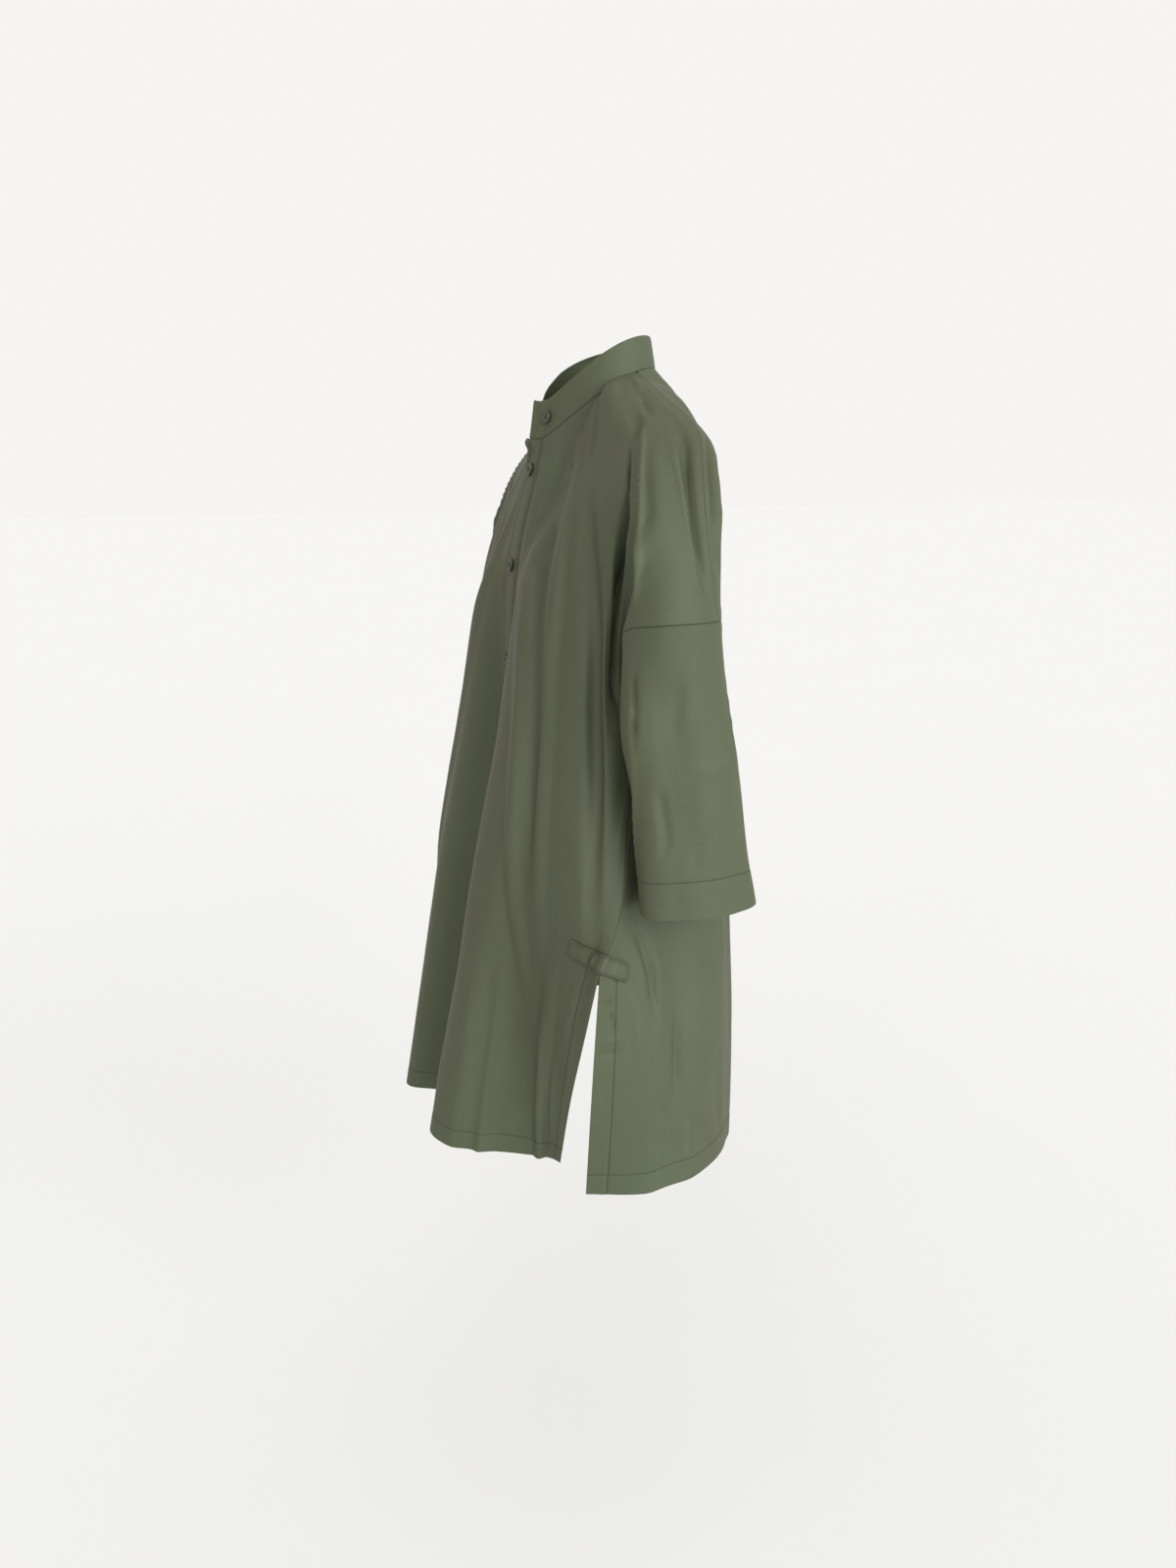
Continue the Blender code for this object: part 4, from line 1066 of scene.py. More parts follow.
# ---------------------------------------------------------------- sewing
@dataclass
class Sewing:
    """Rows of stitches on a piece of cloth, gathered into one mesh."""

    thread: bpy.types.Material
    length: float = 2.3 * MM
    pitch: float = 3.0 * MM
    half_width: float = 0.33 * MM
    half_height: float = 0.22 * MM
    spots: list[tuple[np.ndarray, np.ndarray, np.ndarray]] = field(default_factory=list)

    def row(self, cloth: Cloth, path: tuple[tuple[float, float], ...], lift: float = 0.3 * MM) -> None:
        """Lay a row of stitches on a cloth.

        Args:
            cloth: The cloth that carries it.
            path: Pairs of u and v that the row runs through in straight lines on the cut.
            lift: How far the thread lies above the cloth's middle.
        """
        corners = np.array(path, float)
        places = np.linspace(0, len(corners) - 1, 60 * (len(corners) - 1) + 1)
        u, v = (np.interp(places, np.arange(len(corners)), corners[:, axis]) for axis in (0, 1))
        line = cloth.read(cloth.points, u, v)
        lengths = np.concatenate([[0], np.cumsum(np.linalg.norm(np.diff(line, axis=0), axis=1))])
        starts = np.arange(self.pitch / 2, lengths[-1], self.pitch)
        u, v = np.interp(starts, lengths, u), np.interp(starts, lengths, v)
        normal = unit(cloth.read(cloth.normals(), u, v))
        spot = cloth.read(cloth.points, u, v) + normal * lift
        ahead, behind = (np.stack([np.interp(starts + step, lengths, line[:, axis]) for axis in range(3)],
                                  axis=-1) for step in (MM, -MM))
        self.spots.append((spot, unit(ahead - behind), normal))

    def make(self, name: str) -> bpy.types.Object:
        """Join every stitch of the rows into one mesh."""
        stitch = bmesh.new()
        bmesh.ops.create_icosphere(stitch, subdivisions=1, radius=1)
        shape = np.array([vert.co[:] for vert in stitch.verts])
        corners = np.array([[vert.index for vert in face.verts] for face in stitch.faces])
        stitch.free()
        spot, way, normal = (np.concatenate([s[k] for s in self.spots]) for k in range(3))
        beside = unit(np.cross(normal, way))
        sized = shape * np.array([self.length / 2, self.half_width, self.half_height])
        axes = np.stack([way, beside, unit(np.cross(way, beside))], axis=1)
        points = spot[:, None] + np.einsum("pk,nkj->npj", sized, axes)
        faces = corners[None] + len(shape) * np.arange(len(spot))[:, None, None]
        data = bpy.data.meshes.new(name)
        data.from_pydata(points.reshape(-1, 3).tolist(), [], faces.reshape(-1, 3).tolist())
        data.materials.append(self.thread)
        data.shade_smooth()
        return placed(name, data)


@dataclass(frozen=True)
class Cut:
    """The flat cut of a piece of cloth: its greatest width and length, and its area."""

    width: float
    length: float
    area: float


def ride(piece: bpy.types.Object, node: str = "") -> None:
    """Make a piece ride with the garment, and stand in for a node where one is named."""
    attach(piece, "root")
    if node:
        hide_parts(node)


@dataclass
class ClothPieces:
    """Pieces of cloth that follow the worn form, sewn with the same thread."""

    form: WornForm
    poplin: bpy.types.Material
    thread: bpy.types.Material
    thickness: float = 0.5 * MM

    def finish(self, cloth: Cloth, names: tuple[str, str], cut: Cut, held: str,
               rests_on: tuple[str, ...] = (), sewing: Sewing | None = None) -> None:
        """Make a piece with its stitches and put it in its node's place.

        Args:
            cloth: Its shaped cloth.
            names: Its node's name, and the word that its own name adds.
            cut: Its flat size; not used.
            held: How it hangs; not used.
            rests_on: The pieces that carry it; not used.
            sewing: Its stitches, where it has any.
        """
        node, kind = names
        piece = cloth.make(f"{node}_{kind}", self.thickness, self.poplin)
        stitches = [sewing.make(f"{node}_stitches")] if sewing else []
        for rows in stitches:
            ride(rows)
        ride(piece, node=node)
        LOG.info("%s: %d columns, %d rows", node, len(cloth.columns), len(cloth.rows))


# ---------------------------------------------------------------- pieces of the garment
@dataclass
class Panels(ClothPieces):
    """The two fronts and the back, from the neck and shoulder down to the hem."""

    spacing: float = 3.7 * MM
    length: float = 0.90
    front_width: float = 0.44
    back_half_width: float = 0.40
    back_fine_u: float = 0.6
    hem: float = 25 * MM
    hem_rise: float = 0.22 * MM
    hem_dimple: float = 0.30 * MM
    vent_u: float = 0.875
    back_vent_u: float = 0.952
    vent_rise: float = 0.4 * MM
    seam_allowance: float = 11 * MM
    seam_rise: float = 0.6 * MM
    still_at_top: float = 7 * MM
    still_at_side: float = 10 * MM
    still_at_placket: float = 8 * MM
    left_wrinkles: tuple[Wrinkle, ...] = (
        crease(6, 2.2, (0.10, -0.03), (0.115, 0.03), (0.11, 0.10), (0.09, 0.17)),
        crease(7, 2.4, (0.17, -0.03), (0.20, 0.04), (0.235, 0.12), (0.25, 0.20)),
        roll(8, -2.6, (0.225, -0.03), (0.27, 0.04), (0.33, 0.11), (0.38, 0.19)),
        crease(6, 1.8, (0.06, 0.05), (0.07, 0.15), (0.055, 0.28)),
        roll(6, -1.8, (0.14, -0.03), (0.155, 0.05), (0.165, 0.13)),
        roll(9, -1.6, (0.26, 0.09), (0.32, 0.15), (0.375, 0.20)),
        roll(14, 3.0, (0.095, 0.10), (0.265, 0.265), (0.35, 0.375), (0.415, 0.475), (0.49, 0.58),
             (0.54, 0.715)),
        roll(12, -3.2, (0.20, 0.14), (0.35, 0.28), (0.42, 0.375), (0.46, 0.475), (0.505, 0.58)),
        roll(13, 2.4, (0.15, 0.02), (0.345, 0.20), (0.435, 0.28), (0.465, 0.375), (0.52, 0.47)),
        roll(16, -4.6, (0.295, 0.10), (0.435, 0.175), (0.515, 0.235), (0.60, 0.315), (0.685, 0.405),
             (0.79, 0.50), (0.89, 0.605)),
        crease(18, 8.5, (0.49, 0.045), (0.55, 0.065), (0.64, 0.094), (0.745, 0.122), (0.84, 0.134),
               (0.94, 0.13), (1.0, 0.13)),
        roll(10, -19.0, (0.53, 0.085), (0.565, 0.107), (0.635, 0.143), (0.65, 0.197), (0.67, 0.233),
             (0.70, 0.27)),
        roll(11, -13.0, (0.655, 0.20), (0.68, 0.245), (0.72, 0.30), (0.78, 0.37)),
        roll(11, -4.0, (0.455, 0.055), (0.53, 0.067), (0.575, 0.10)),
        crease(9, 4.2, (0.305, 0.010), (0.36, 0.018), (0.43, 0.034), (0.50, 0.05)),
        roll(8, -4.2, (0.32, 0.024), (0.39, 0.026), (0.46, 0.034), (0.53, 0.044)),
        crease(7, 3.6, (0.40, 0.012), (0.46, 0.015), (0.52, 0.014), (0.60, 0.014)),
        roll(10, -2.4, (0.31, 0.03), (0.37, 0.042), (0.42, 0.052)),
        roll(9, -10.0, (0.55, 0.026), (0.64, 0.022), (0.74, 0.021), (0.84, 0.019), (0.93, 0.018),
             (0.99, 0.020)),
        crease(8, 3.8, (0.58, 0.040), (0.70, 0.038), (0.84, 0.036), (0.95, 0.034)),
        roll(16, 1.6, (0.56, 0.055), (0.70, 0.075), (0.86, 0.085)),
        crease(4, 0.5, (0.62, 0.50), (0.74, 0.53), (0.88, 0.52)),
        crease(4, 0.45, (0.28, 0.52), (0.45, 0.55), (0.60, 0.545)),
        roll(9, 1.6, (0.74, 0.80), (0.77, 0.88), (0.78, 0.97)),
        roll(13, 2.8, (0.645, 0.72), (0.645, 0.80), (0.662, 0.86), (0.662, 0.93), (0.66, 1.02)),
        roll(9, 1.4, (0.86, 0.66), (0.84, 0.72), (0.80, 0.80)),
        roll(7, -1.2, (0.70, 0.62), (0.76, 0.61), (0.82, 0.62)),
        roll(12, 1.6, (0.12, 0.70), (0.15, 0.84), (0.16, 0.99)),
    )
    right_wrinkles: tuple[Wrinkle, ...] = (
        crease(6, 2.2, (-0.09, -0.03), (-0.11, 0.04), (-0.10, 0.12)),
        crease(7, 2.2, (-0.18, -0.03), (-0.20, 0.05), (-0.245, 0.15)),
        roll(8, -2.4, (-0.24, -0.03), (-0.28, 0.05), (-0.35, 0.14)),
        crease(6, 1.6, (-0.06, 0.06), (-0.065, 0.18), (-0.055, 0.30)),
        roll(9, -1.5, (-0.24, 0.10), (-0.31, 0.16), (-0.36, 0.22)),
        roll(15, 1.9, (-0.10, 0.12), (-0.22, 0.27), (-0.31, 0.40), (-0.37, 0.55), (-0.42, 0.72)),
        roll(13, -2.2, (-0.18, 0.16), (-0.33, 0.30), (-0.43, 0.44), (-0.50, 0.60)),
        roll(17, -2.6, (-0.30, 0.08), (-0.46, 0.20), (-0.58, 0.36), (-0.70, 0.52), (-0.84, 0.64)),
        crease(22, 5.5, (-0.50, 0.050), (-0.57, 0.072), (-0.66, 0.100), (-0.77, 0.128), (-0.88, 0.140),
               (-1.0, 0.138)),
        roll(12, -11.0, (-0.55, 0.09), (-0.59, 0.118), (-0.64, 0.155), (-0.66, 0.205), (-0.69, 0.26)),
        roll(14, -7.0, (-0.67, 0.235), (-0.70, 0.27), (-0.74, 0.32), (-0.80, 0.385)),
        crease(10, 2.8, (-0.31, 0.007), (-0.37, 0.018), (-0.44, 0.030), (-0.53, 0.045)),
        roll(9, -2.8, (-0.34, 0.006), (-0.40, 0.013), (-0.47, 0.020), (-0.55, 0.026)),
        roll(8, 1.4, (-0.35, 0.014), (-0.39, 0.05), (-0.45, 0.08)),
        roll(6, -1.2, (-0.41, 0.012), (-0.46, 0.03), (-0.54, 0.045)),
        crease(4, 0.5, (-0.58, 0.47), (-0.70, 0.49), (-0.86, 0.48)),
        crease(4, 0.45, (-0.24, 0.60), (-0.40, 0.62), (-0.58, 0.61)),
        roll(10, 1.6, (-0.72, 0.78), (-0.76, 0.87), (-0.75, 0.98)),
        roll(9, -1.5, (-0.84, 0.67), (-0.82, 0.74), (-0.77, 0.82)),
        roll(13, 1.7, (-0.15, 0.66), (-0.17, 0.82), (-0.16, 0.99)),
        roll(14, 1.8, (-0.46, 0.70), (-0.47, 0.85), (-0.44, 1.0)),
    )
    back_wrinkles: tuple[Wrinkle, ...] = (
        roll(9, -5.0, (0.77, 0.72), (0.775, 0.81), (0.775, 0.89)),
        roll(9, -7.0, (0.945, 0.605), (0.89, 0.627), (0.86, 0.66), (0.85, 0.70), (0.845, 0.76)),
        crease(8, 2.4, (0.86, 0.60), (0.835, 0.65), (0.825, 0.72)),
        tuck(8, -5.0, (0.992, 0.675), (0.972, 0.71), (0.952, 0.755)),
        roll(9, 1.6, (0.93, 0.665), (0.90, 0.72), (0.895, 0.80)),
        crease(6, 2.4, (1.02, 0.755), (0.975, 0.76), (0.935, 0.757)),
        roll(6, -2.2, (1.02, 0.776), (0.975, 0.78), (0.935, 0.777)),
        roll(13, -6.5, (0.38, 0.020), (0.50, 0.034), (0.64, 0.038), (0.78, 0.034), (0.93, 0.026)),
        crease(16, 4.0, (0.44, 0.060), (0.58, 0.070), (0.74, 0.068), (0.90, 0.055)),
        roll(11, -4.0, (0.60, 0.07), (0.67, 0.11), (0.71, 0.16), (0.72, 0.22)),
        crease(10, 3.0, (0.22, 0.008), (0.27, 0.016), (0.33, 0.020), (0.43, 0.018)),
        roll(9, -2.8, (0.24, 0.022), (0.31, 0.034), (0.40, 0.046)),
        roll(8, 2.4, (0.72, 0.90), (0.745, 0.93), (0.735, 0.98)),
        roll(8, -2.2, (0.76, 0.90), (0.70, 0.93), (0.66, 0.98)),
        roll(12, -1.8, (0.62, 0.80), (0.63, 0.90), (0.60, 1.0)),
        roll(16, 1.8, (0.02, 0.20), (0.04, 0.45), (0.02, 0.70)),
        roll(15, -1.8, (0.30, 0.25), (0.33, 0.50), (0.36, 0.75)),
        roll(15, -1.8, (-0.15, 0.22), (-0.17, 0.50), (-0.21, 0.80)),
        roll(14, 2.0, (-0.50, 0.18), (-0.53, 0.40), (-0.56, 0.62)),
        roll(13, -5.5, (-0.40, 0.024), (-0.52, 0.036), (-0.67, 0.040), (-0.80, 0.034), (-0.92, 0.028)),
        roll(11, -3.6, (-0.60, 0.08), (-0.66, 0.12), (-0.70, 0.17), (-0.71, 0.24)),
        roll(9, 1.5, (-0.33, 0.015), (-0.43, 0.05), (-0.56, 0.08)),
        roll(8, -2.0, (-0.94, 0.62), (-0.88, 0.65), (-0.86, 0.71)),
        roll(10, -2.2, (-0.76, 0.68), (-0.77, 0.78), (-0.76, 0.90)),
        crease(4, 0.5, (-0.60, 0.50), (-0.30, 0.515), (0.10, 0.505), (0.45, 0.52)),
        roll(12, 1.6, (-0.20, 0.86), (-0.22, 0.94), (-0.20, 1.0)),
    )

    def to_side(self, cloth: Cloth, is_front: bool) -> np.ndarray:
        """Return each point's distance from its side edge, or from the nearer one on the back."""
        _, _, first, last = cloth.from_edges()
        if not is_front:
            return np.minimum(first, last)
        return last if cloth.columns[-1] > 0.5 else first

    def sewn_relief(self, cloth: Cloth, is_front: bool) -> np.ndarray:
        """Return the low relief of a panel's hem, vent facings and seam allowances, and mark its lines."""
        top, outer = cloth.from_edges()[0], self.to_side(cloth, is_front)
        u, v = np.abs(cloth.columns)[None], cloth.rows[:, None]
        hem_v = self.hem_row(cloth)
        off_hem = (v - hem_v) * cloth.down[-1].mean()
        turned = self.hem_rise * ease((v - hem_v) * self.length / (2 * MM))
        turned = turned + dimple(off_hem, self.hem_dimple)
        cloth.mark(off_hem, 0.5)
        vent_u = self.vent_u if is_front else self.back_vent_u
        width = float(np.ptp(cloth.across[-1])) / (1 if is_front else 2)
        off_vent = (u - vent_u) * width
        in_vent = ease((v - self.form.vent_v + 0.01) / 0.02)
        facing = in_vent * (self.vent_rise * ease((u - vent_u) * 130) + dimple(off_vent, self.vent_rise))
        cloth.mark(np.where(in_vent > 0.5, off_vent, 1.0), 0.7)
        sewn_side = 1 - ease((v - self.form.vent_v + 0.02) / 0.02)
        ridge = seam_ridge(top, self.seam_rise, self.seam_allowance)
        ridge = ridge + sewn_side * seam_ridge(outer, self.seam_rise, self.seam_allowance)
        neck_u = self.form.front_neck_u if is_front else self.form.back_neck_u
        cloth.mark(top, np.where(u > neck_u, 0.3, 0.8))
        cloth.mark(np.where(sewn_side > 0.5, outer, 1.0), 0.8)
        return turned + facing + ridge

    def hem_row(self, cloth: Cloth) -> float:
        """Return v at the hem's row of stitches."""
        return 1 - self.hem / float(cloth.down[-1].mean())

    def free(self, cloth: Cloth, is_front: bool) -> np.ndarray:
        """Return how freely the cloth may wrinkle, 0 at a seam and 1 inside the panel."""
        top, _, first, last = cloth.from_edges()
        inner = first if cloth.columns[-1] > 0.5 else last
        free = ease(top / self.still_at_top) * ease(self.to_side(cloth, is_front) / self.still_at_side)
        return free * ease(inner / self.still_at_placket) if is_front else free

    def grid(self, is_front: bool, side: Side) -> tuple[np.ndarray, np.ndarray]:
        """Return a panel's columns and rows, closer together at its stitched lines."""
        rows = spread(0.0, 1.0, self.spacing, (0.0, 1 - self.hem / self.length, 1.0), self.length)
        if not is_front:
            half = np.concatenate([
                spread(0.0, self.back_fine_u, 2 * self.spacing, (), self.back_half_width)[:-1],
                spread(self.back_fine_u, 1.0, self.spacing, (self.back_vent_u, 1.0), self.back_half_width)])
            return np.concatenate([-half[:0:-1], half]), rows
        start = self.form.placket_u
        half = spread(start, 1.0, self.spacing, (start, self.vent_u, 1.0), self.front_width)
        return (half if side is Side.LEFT else -half[::-1]), rows

    def build(self) -> None:
        """Make the fronts and the back, and sew their hems and vents."""
        jobs = (
            ("front_left", True, Side.LEFT, self.left_wrinkles, Cut(0.496, 0.955, 0.2566), 3.0),
            ("front_right", True, Side.RIGHT, self.right_wrinkles, Cut(0.489, 0.943, 0.2875), 11.0),
            ("back", False, Side.LEFT, self.back_wrinkles, Cut(0.964, 0.934, 0.6365), 23.0),
        )
        for node, is_front, side, wrinkles, cut, seed in jobs:
            us, vs = self.grid(is_front, side)
            surface = self.form.front if is_front else self.form.back
            cloth = Cloth(surface(us, vs), us, vs, -1 if is_front else 1)
            loose = cloth.wrinkled(wrinkles) + cloth.uneven(seed, ((85, 1.5), (34, 0.5), (14, 0.12)))
            cloth.raise_by(loose * self.free(cloth, is_front))
            cloth.raise_by(self.sewn_relief(cloth, is_front))
            self.finish(cloth, (node, "panel"), cut, "hung", ("collar_band",),
                        self.stitched(cloth, is_front, side))

    def stitched(self, cloth: Cloth, is_front: bool, side: Side) -> Sewing:
        """Sew a panel's hem and vent facings, and return the stitches."""
        sewing = Sewing(self.thread)
        hem_v = self.hem_row(cloth)
        start = self.form.placket_u if is_front else -1.0
        ends = (start, 1.0) if side is Side.LEFT else (-1.0, -start)
        sewing.row(cloth, ((ends[0], hem_v), (ends[1], hem_v)))
        vent_u = self.vent_u if is_front else self.back_vent_u
        for sign in (side.value,) if is_front else (1, -1):
            sewing.row(cloth, ((sign * vent_u, self.form.vent_v - 0.02), (sign * vent_u, 1.0)))
        return sewing


@dataclass
class Sleeves(ClothPieces):
    """Two wide, straight sleeves with a deep turned cuff."""

    spacing: float = 3.2 * MM
    girth: float = 0.36
    length: float = 0.31
    cuff: float = 47 * MM
    cuff_rise: float = 0.22 * MM
    cuff_dimple: float = 0.35 * MM
    seam_allowance: float = 10 * MM
    underarm_rise: float = 0.6 * MM
    armhole_rise: float = 0.5 * MM
    still_at_armhole: float = 7 * MM
    still_at_underarm: float = 12 * MM
    cut: Cut = Cut(0.380, 0.311, 0.0970)
    left_wrinkles: tuple[Wrinkle, ...] = (
        roll(10, -1.4, (0.02, 0.30), (0.10, 0.36), (0.17, 0.34)),
        roll(12, 1.3, (0.98, 0.42), (1.08, 0.47), (1.16, 0.50)),
        crease(20, 4.0, (1.289, -0.02), (1.300, 0.11), (1.311, 0.22), (1.339, 0.49), (1.394, 0.78),
               (1.411, 1.02)),
        tuck(9, -6.5, (1.296, 0.07), (1.303, 0.15), (1.312, 0.28), (1.33, 0.42)),
        roll(9, -3.2, (1.262, 0.48), (1.256, 0.60), (1.252, 0.70), (1.280, 0.78)),
        roll(11, -1.5, (1.144, 0.17), (1.178, 0.25), (1.200, 0.38)),
        crease(12, 2.4, (0.933, 0.04), (0.972, 0.31), (1.011, 0.63), (1.015, 0.98)),
        roll(8, -1.4, (1.10, 0.66), (1.16, 0.74), (1.18, 0.82)),
        roll(11, -1.5, (0.72, 0.40), (0.80, 0.50), (0.86, 0.46)),
        roll(11, 1.7, (1.42, 0.30), (1.50, 0.40), (1.56, 0.36)),
        roll(11, -1.7, (1.40, 0.52), (1.48, 0.60), (1.57, 0.55)),
        crease(3.5, 0.45, (0.95, 0.66), (1.03, 0.665), (1.12, 0.655)),
        roll(13, 1.4, (0.88, 0.10), (0.93, 0.30), (0.92, 0.55)),
    )
    right_wrinkles: tuple[Wrinkle, ...] = (
        roll(10, -1.5, (1.00, 0.28), (1.09, 0.34), (1.17, 0.33)),
        roll(12, 1.4, (0.97, 0.45), (1.07, 0.52), (1.15, 0.52)),
        crease(20, 3.6, (1.285, -0.02), (1.305, 0.16), (1.318, 0.35), (1.36, 0.60), (1.40, 1.02)),
        crease(12, 2.2, (0.94, 0.05), (0.98, 0.36), (1.01, 0.66), (1.02, 0.98)),
        roll(9, -1.6, (1.12, 0.60), (1.17, 0.69), (1.16, 0.79)),
        roll(10, -1.6, (1.27, 0.30), (1.31, 0.42), (1.33, 0.58)),
        roll(11, -1.6, (0.74, 0.36), (0.81, 0.47), (0.88, 0.50)),
        roll(11, 1.6, (1.41, 0.28), (1.49, 0.36), (1.57, 0.40)),
        roll(11, -1.6, (1.39, 0.50), (1.47, 0.57), (1.56, 0.60)),
        roll(13, 1.5, (0.90, 0.12), (0.94, 0.32), (0.91, 0.60)),
    )

    def build(self) -> None:
        """Make both sleeves, with their underarm seam, cuff and stitches."""
        start = self.form.ring_underarm
        cuff_t = 1 - self.cuff / self.length
        turns = spread(start, start + 1, self.spacing, (start, start + 1), self.girth)
        down = spread(0.0, 1.0, self.spacing, (0.0, cuff_t, 1.0), self.length)
        below = (down[:, None] - cuff_t) * self.length
        jobs = ((Side.LEFT, self.left_wrinkles, 5.0), (Side.RIGHT, self.right_wrinkles, 17.0))
        for side, wrinkles, seed in jobs:
            cloth = Cloth(self.form.sleeve(turns, down, side), turns, down, side.value, closed=True)
            top, _, first, last = cloth.from_edges()
            seam = np.minimum(first, last)
            loose = cloth.wrinkled(wrinkles) + cloth.uneven(seed, ((80, 1.3), (30, 0.45), (13, 0.12)))
            free = ease(top / self.still_at_armhole) * ease(seam / self.still_at_underarm)
            cloth.raise_by(loose * free)
            relief = seam_ridge(seam, self.underarm_rise, self.seam_allowance)
            relief = relief + seam_ridge(top, self.armhole_rise, self.seam_allowance)
            relief = relief + self.cuff_rise * ease(below / (2 * MM)) + dimple(below, self.cuff_dimple)
            for distance, strength in ((below, 0.6), (top, 0.7), (seam, 0.8)):
                cloth.mark(distance, strength)
            cloth.raise_by(relief)
            sewing = Sewing(self.thread)
            sewing.row(cloth, ((start + 0.004, cuff_t), (start + 0.996, cuff_t)))
            name = side.name.lower()
            self.finish(cloth, (f"sleeve_{name}", "tube"), self.cut, "hung", (f"front_{name}_panel",),
                        sewing)


@dataclass
class Plackets(ClothPieces):
    """The upper placket, with its buttonholes, and the lower one under it."""

    thickness: float = 1.2 * MM
    spacing: float = 2.6 * MM
    fine_spacing: float = 1.8 * MM
    length: float = 0.84
    half_front: float = 0.46
    stitch_inset_u: float = 0.0096
    stitch_inset: float = 4.4 * MM
    stitch_dimple: float = 0.3 * MM
    button_levels: tuple[float, ...] = tuple(-0.102 - 0.110 * n for n in range(6))
    buttonhole: float = 17 * MM
    flare: float = 9 * MM
    flare_width: float = 17 * MM
    flare_height: float = 50 * MM
    corner: float = 5 * MM
    corner_height: float = 10 * MM
    cut: Cut = Cut(0.034, 0.832, 0.0267)

    def build(self) -> Cloth:
        """Make both plackets and sew the upper one.

        Returns:
            The upper placket's cloth, which carries the buttons.
        """
        start, end, inset = -self.form.placket_free_u, self.form.placket_u, self.stitch_inset_u
        us = spread(start, end, self.fine_spacing, (start + inset, end - inset), self.half_front)
        vs = spread(0.0, 1.0, self.spacing, (0.0, 1.0), self.length)
        upper = self.strip(us, vs, Side.LEFT)
        self.strip(-us[::-1], vs, Side.RIGHT)
        return upper

    def strip(self, columns: np.ndarray, rows: np.ndarray, side: Side) -> Cloth:
        """Make one placket with its stitches.

        Args:
            columns: Its columns on the front.
            rows: Its rows.
            side: Which placket it is.

        Returns:
            Its cloth.
        """
        cloth = Cloth(self.form.placket(columns, rows, side), columns, rows, -1)
        top, _, first, last = cloth.from_edges()
        free_edge, sewn_edge = (first, last) if side is Side.LEFT else (last, first)
        soft = cloth.uneven(31.0 + side.value, ((60, 0.4), (22, 0.14)))
        cloth.raise_by(soft * ease(top / (10 * MM)) * ease(sewn_edge / (4 * MM)))
        seams = (free_edge - self.stitch_inset, sewn_edge - self.stitch_inset)
        cloth.raise_by(-self.stitch_dimple * (bump(seams[0], 2 * MM) + bump(seams[1], 2 * MM)))
        for distance, strength in ((seams[0], 0.8), (seams[1], 0.8), (sewn_edge, 1.0)):
            cloth.mark(distance, strength)
        sewing = Sewing(self.thread)
        if side is Side.LEFT:
            out = self.flare * (1 - ease(top / self.flare_height))
            out = out + self.corner * bump(top - 4 * MM, self.corner_height)
            cloth.stand_forward(out * np.clip(1 - free_edge / self.flare_width, 0, 1) ** 2)
        for u in (columns[0] + self.stitch_inset_u, columns[-1] - self.stitch_inset_u):
            sewing.row(cloth, ((u, 0.004), (u, 0.997)), 0.75 * MM)
        if side is Side.LEFT:
            self.sew_buttonholes(cloth, sewing)
        self.finish(cloth, (f"placket_{side.name.lower()}", "strip"), self.cut, "hung", ("collar_band",),
                    sewing)
        return cloth

    def sew_buttonholes(self, cloth: Cloth, sewing: Sewing) -> None:
        """Work a buttonhole down the placket under each button, as short bars on both sides of its slit."""
        middle = len(cloth.columns) // 2
        levels = -cloth.points[:, middle, 2]
        bars = np.linspace(-self.buttonhole / 2, self.buttonhole / 2, 24)
        columns = np.full(len(bars), float(cloth.columns[middle]))
        for level in self.button_levels:
            rows = np.interp(-level + bars, levels, cloth.rows)
            normal = unit(cloth.read(cloth.normals(), columns, rows))
            spot = cloth.read(cloth.points, columns, rows) + normal * 0.7 * MM
            way = unit(cloth.read(np.gradient(cloth.points, axis=1), columns, rows))
            for offset in (-1.1 * MM, 1.1 * MM):
                sewing.spots.append((spot + way * offset, way, normal))


@dataclass
class Band(ClothPieces):
    """The standing band round the neck, which laps left over right at the front."""

    thickness: float = 1.3 * MM
    spacing: float = 2.4 * MM
    half_front: float = 0.42
    height: float = 0.038
    flare: float = 9 * MM
    flare_width: float = 20 * MM
    cut: Cut = Cut(0.490, 0.043, 0.0171)

    def build(self) -> Cloth:
        """Make the band.

        Returns:
            Its cloth, which carries the top button.
        """
        start = -self.form.placket_free_u
        front_us = spread(start, self.form.front_neck_u, self.spacing, (start,), self.half_front)
        back_angles = np.linspace(self.form.neck_side_angle, math.pi / 2, 40)
        shares = spread(0.0, 1.0, self.spacing, (0.0, 1.0), self.height)[::-1]
        points = self.form.band(front_us, back_angles, shares)
        cloth = Cloth(points, np.arange(points.shape[1], dtype=float), 1 - shares, -1)
        top, bottom, first, _ = cloth.from_edges()
        soft = cloth.uneven(41.0, ((70, 1.0), (28, 0.5), (11, 0.15)))
        cloth.raise_by(soft * ease(bottom / (8 * MM)))
        cloth.raise_by(-0.5 * MM * (1 - ease(top / (2.5 * MM))) + 0.4 * MM * ease(bottom / (1.6 * MM)))
        cloth.stand_forward(self.flare * np.clip(1 - first / self.flare_width, 0, 1) ** 2)
        cloth.mark(bottom)
        self.finish(cloth, ("collar_band", "stand"), self.cut, "folded")
        return cloth


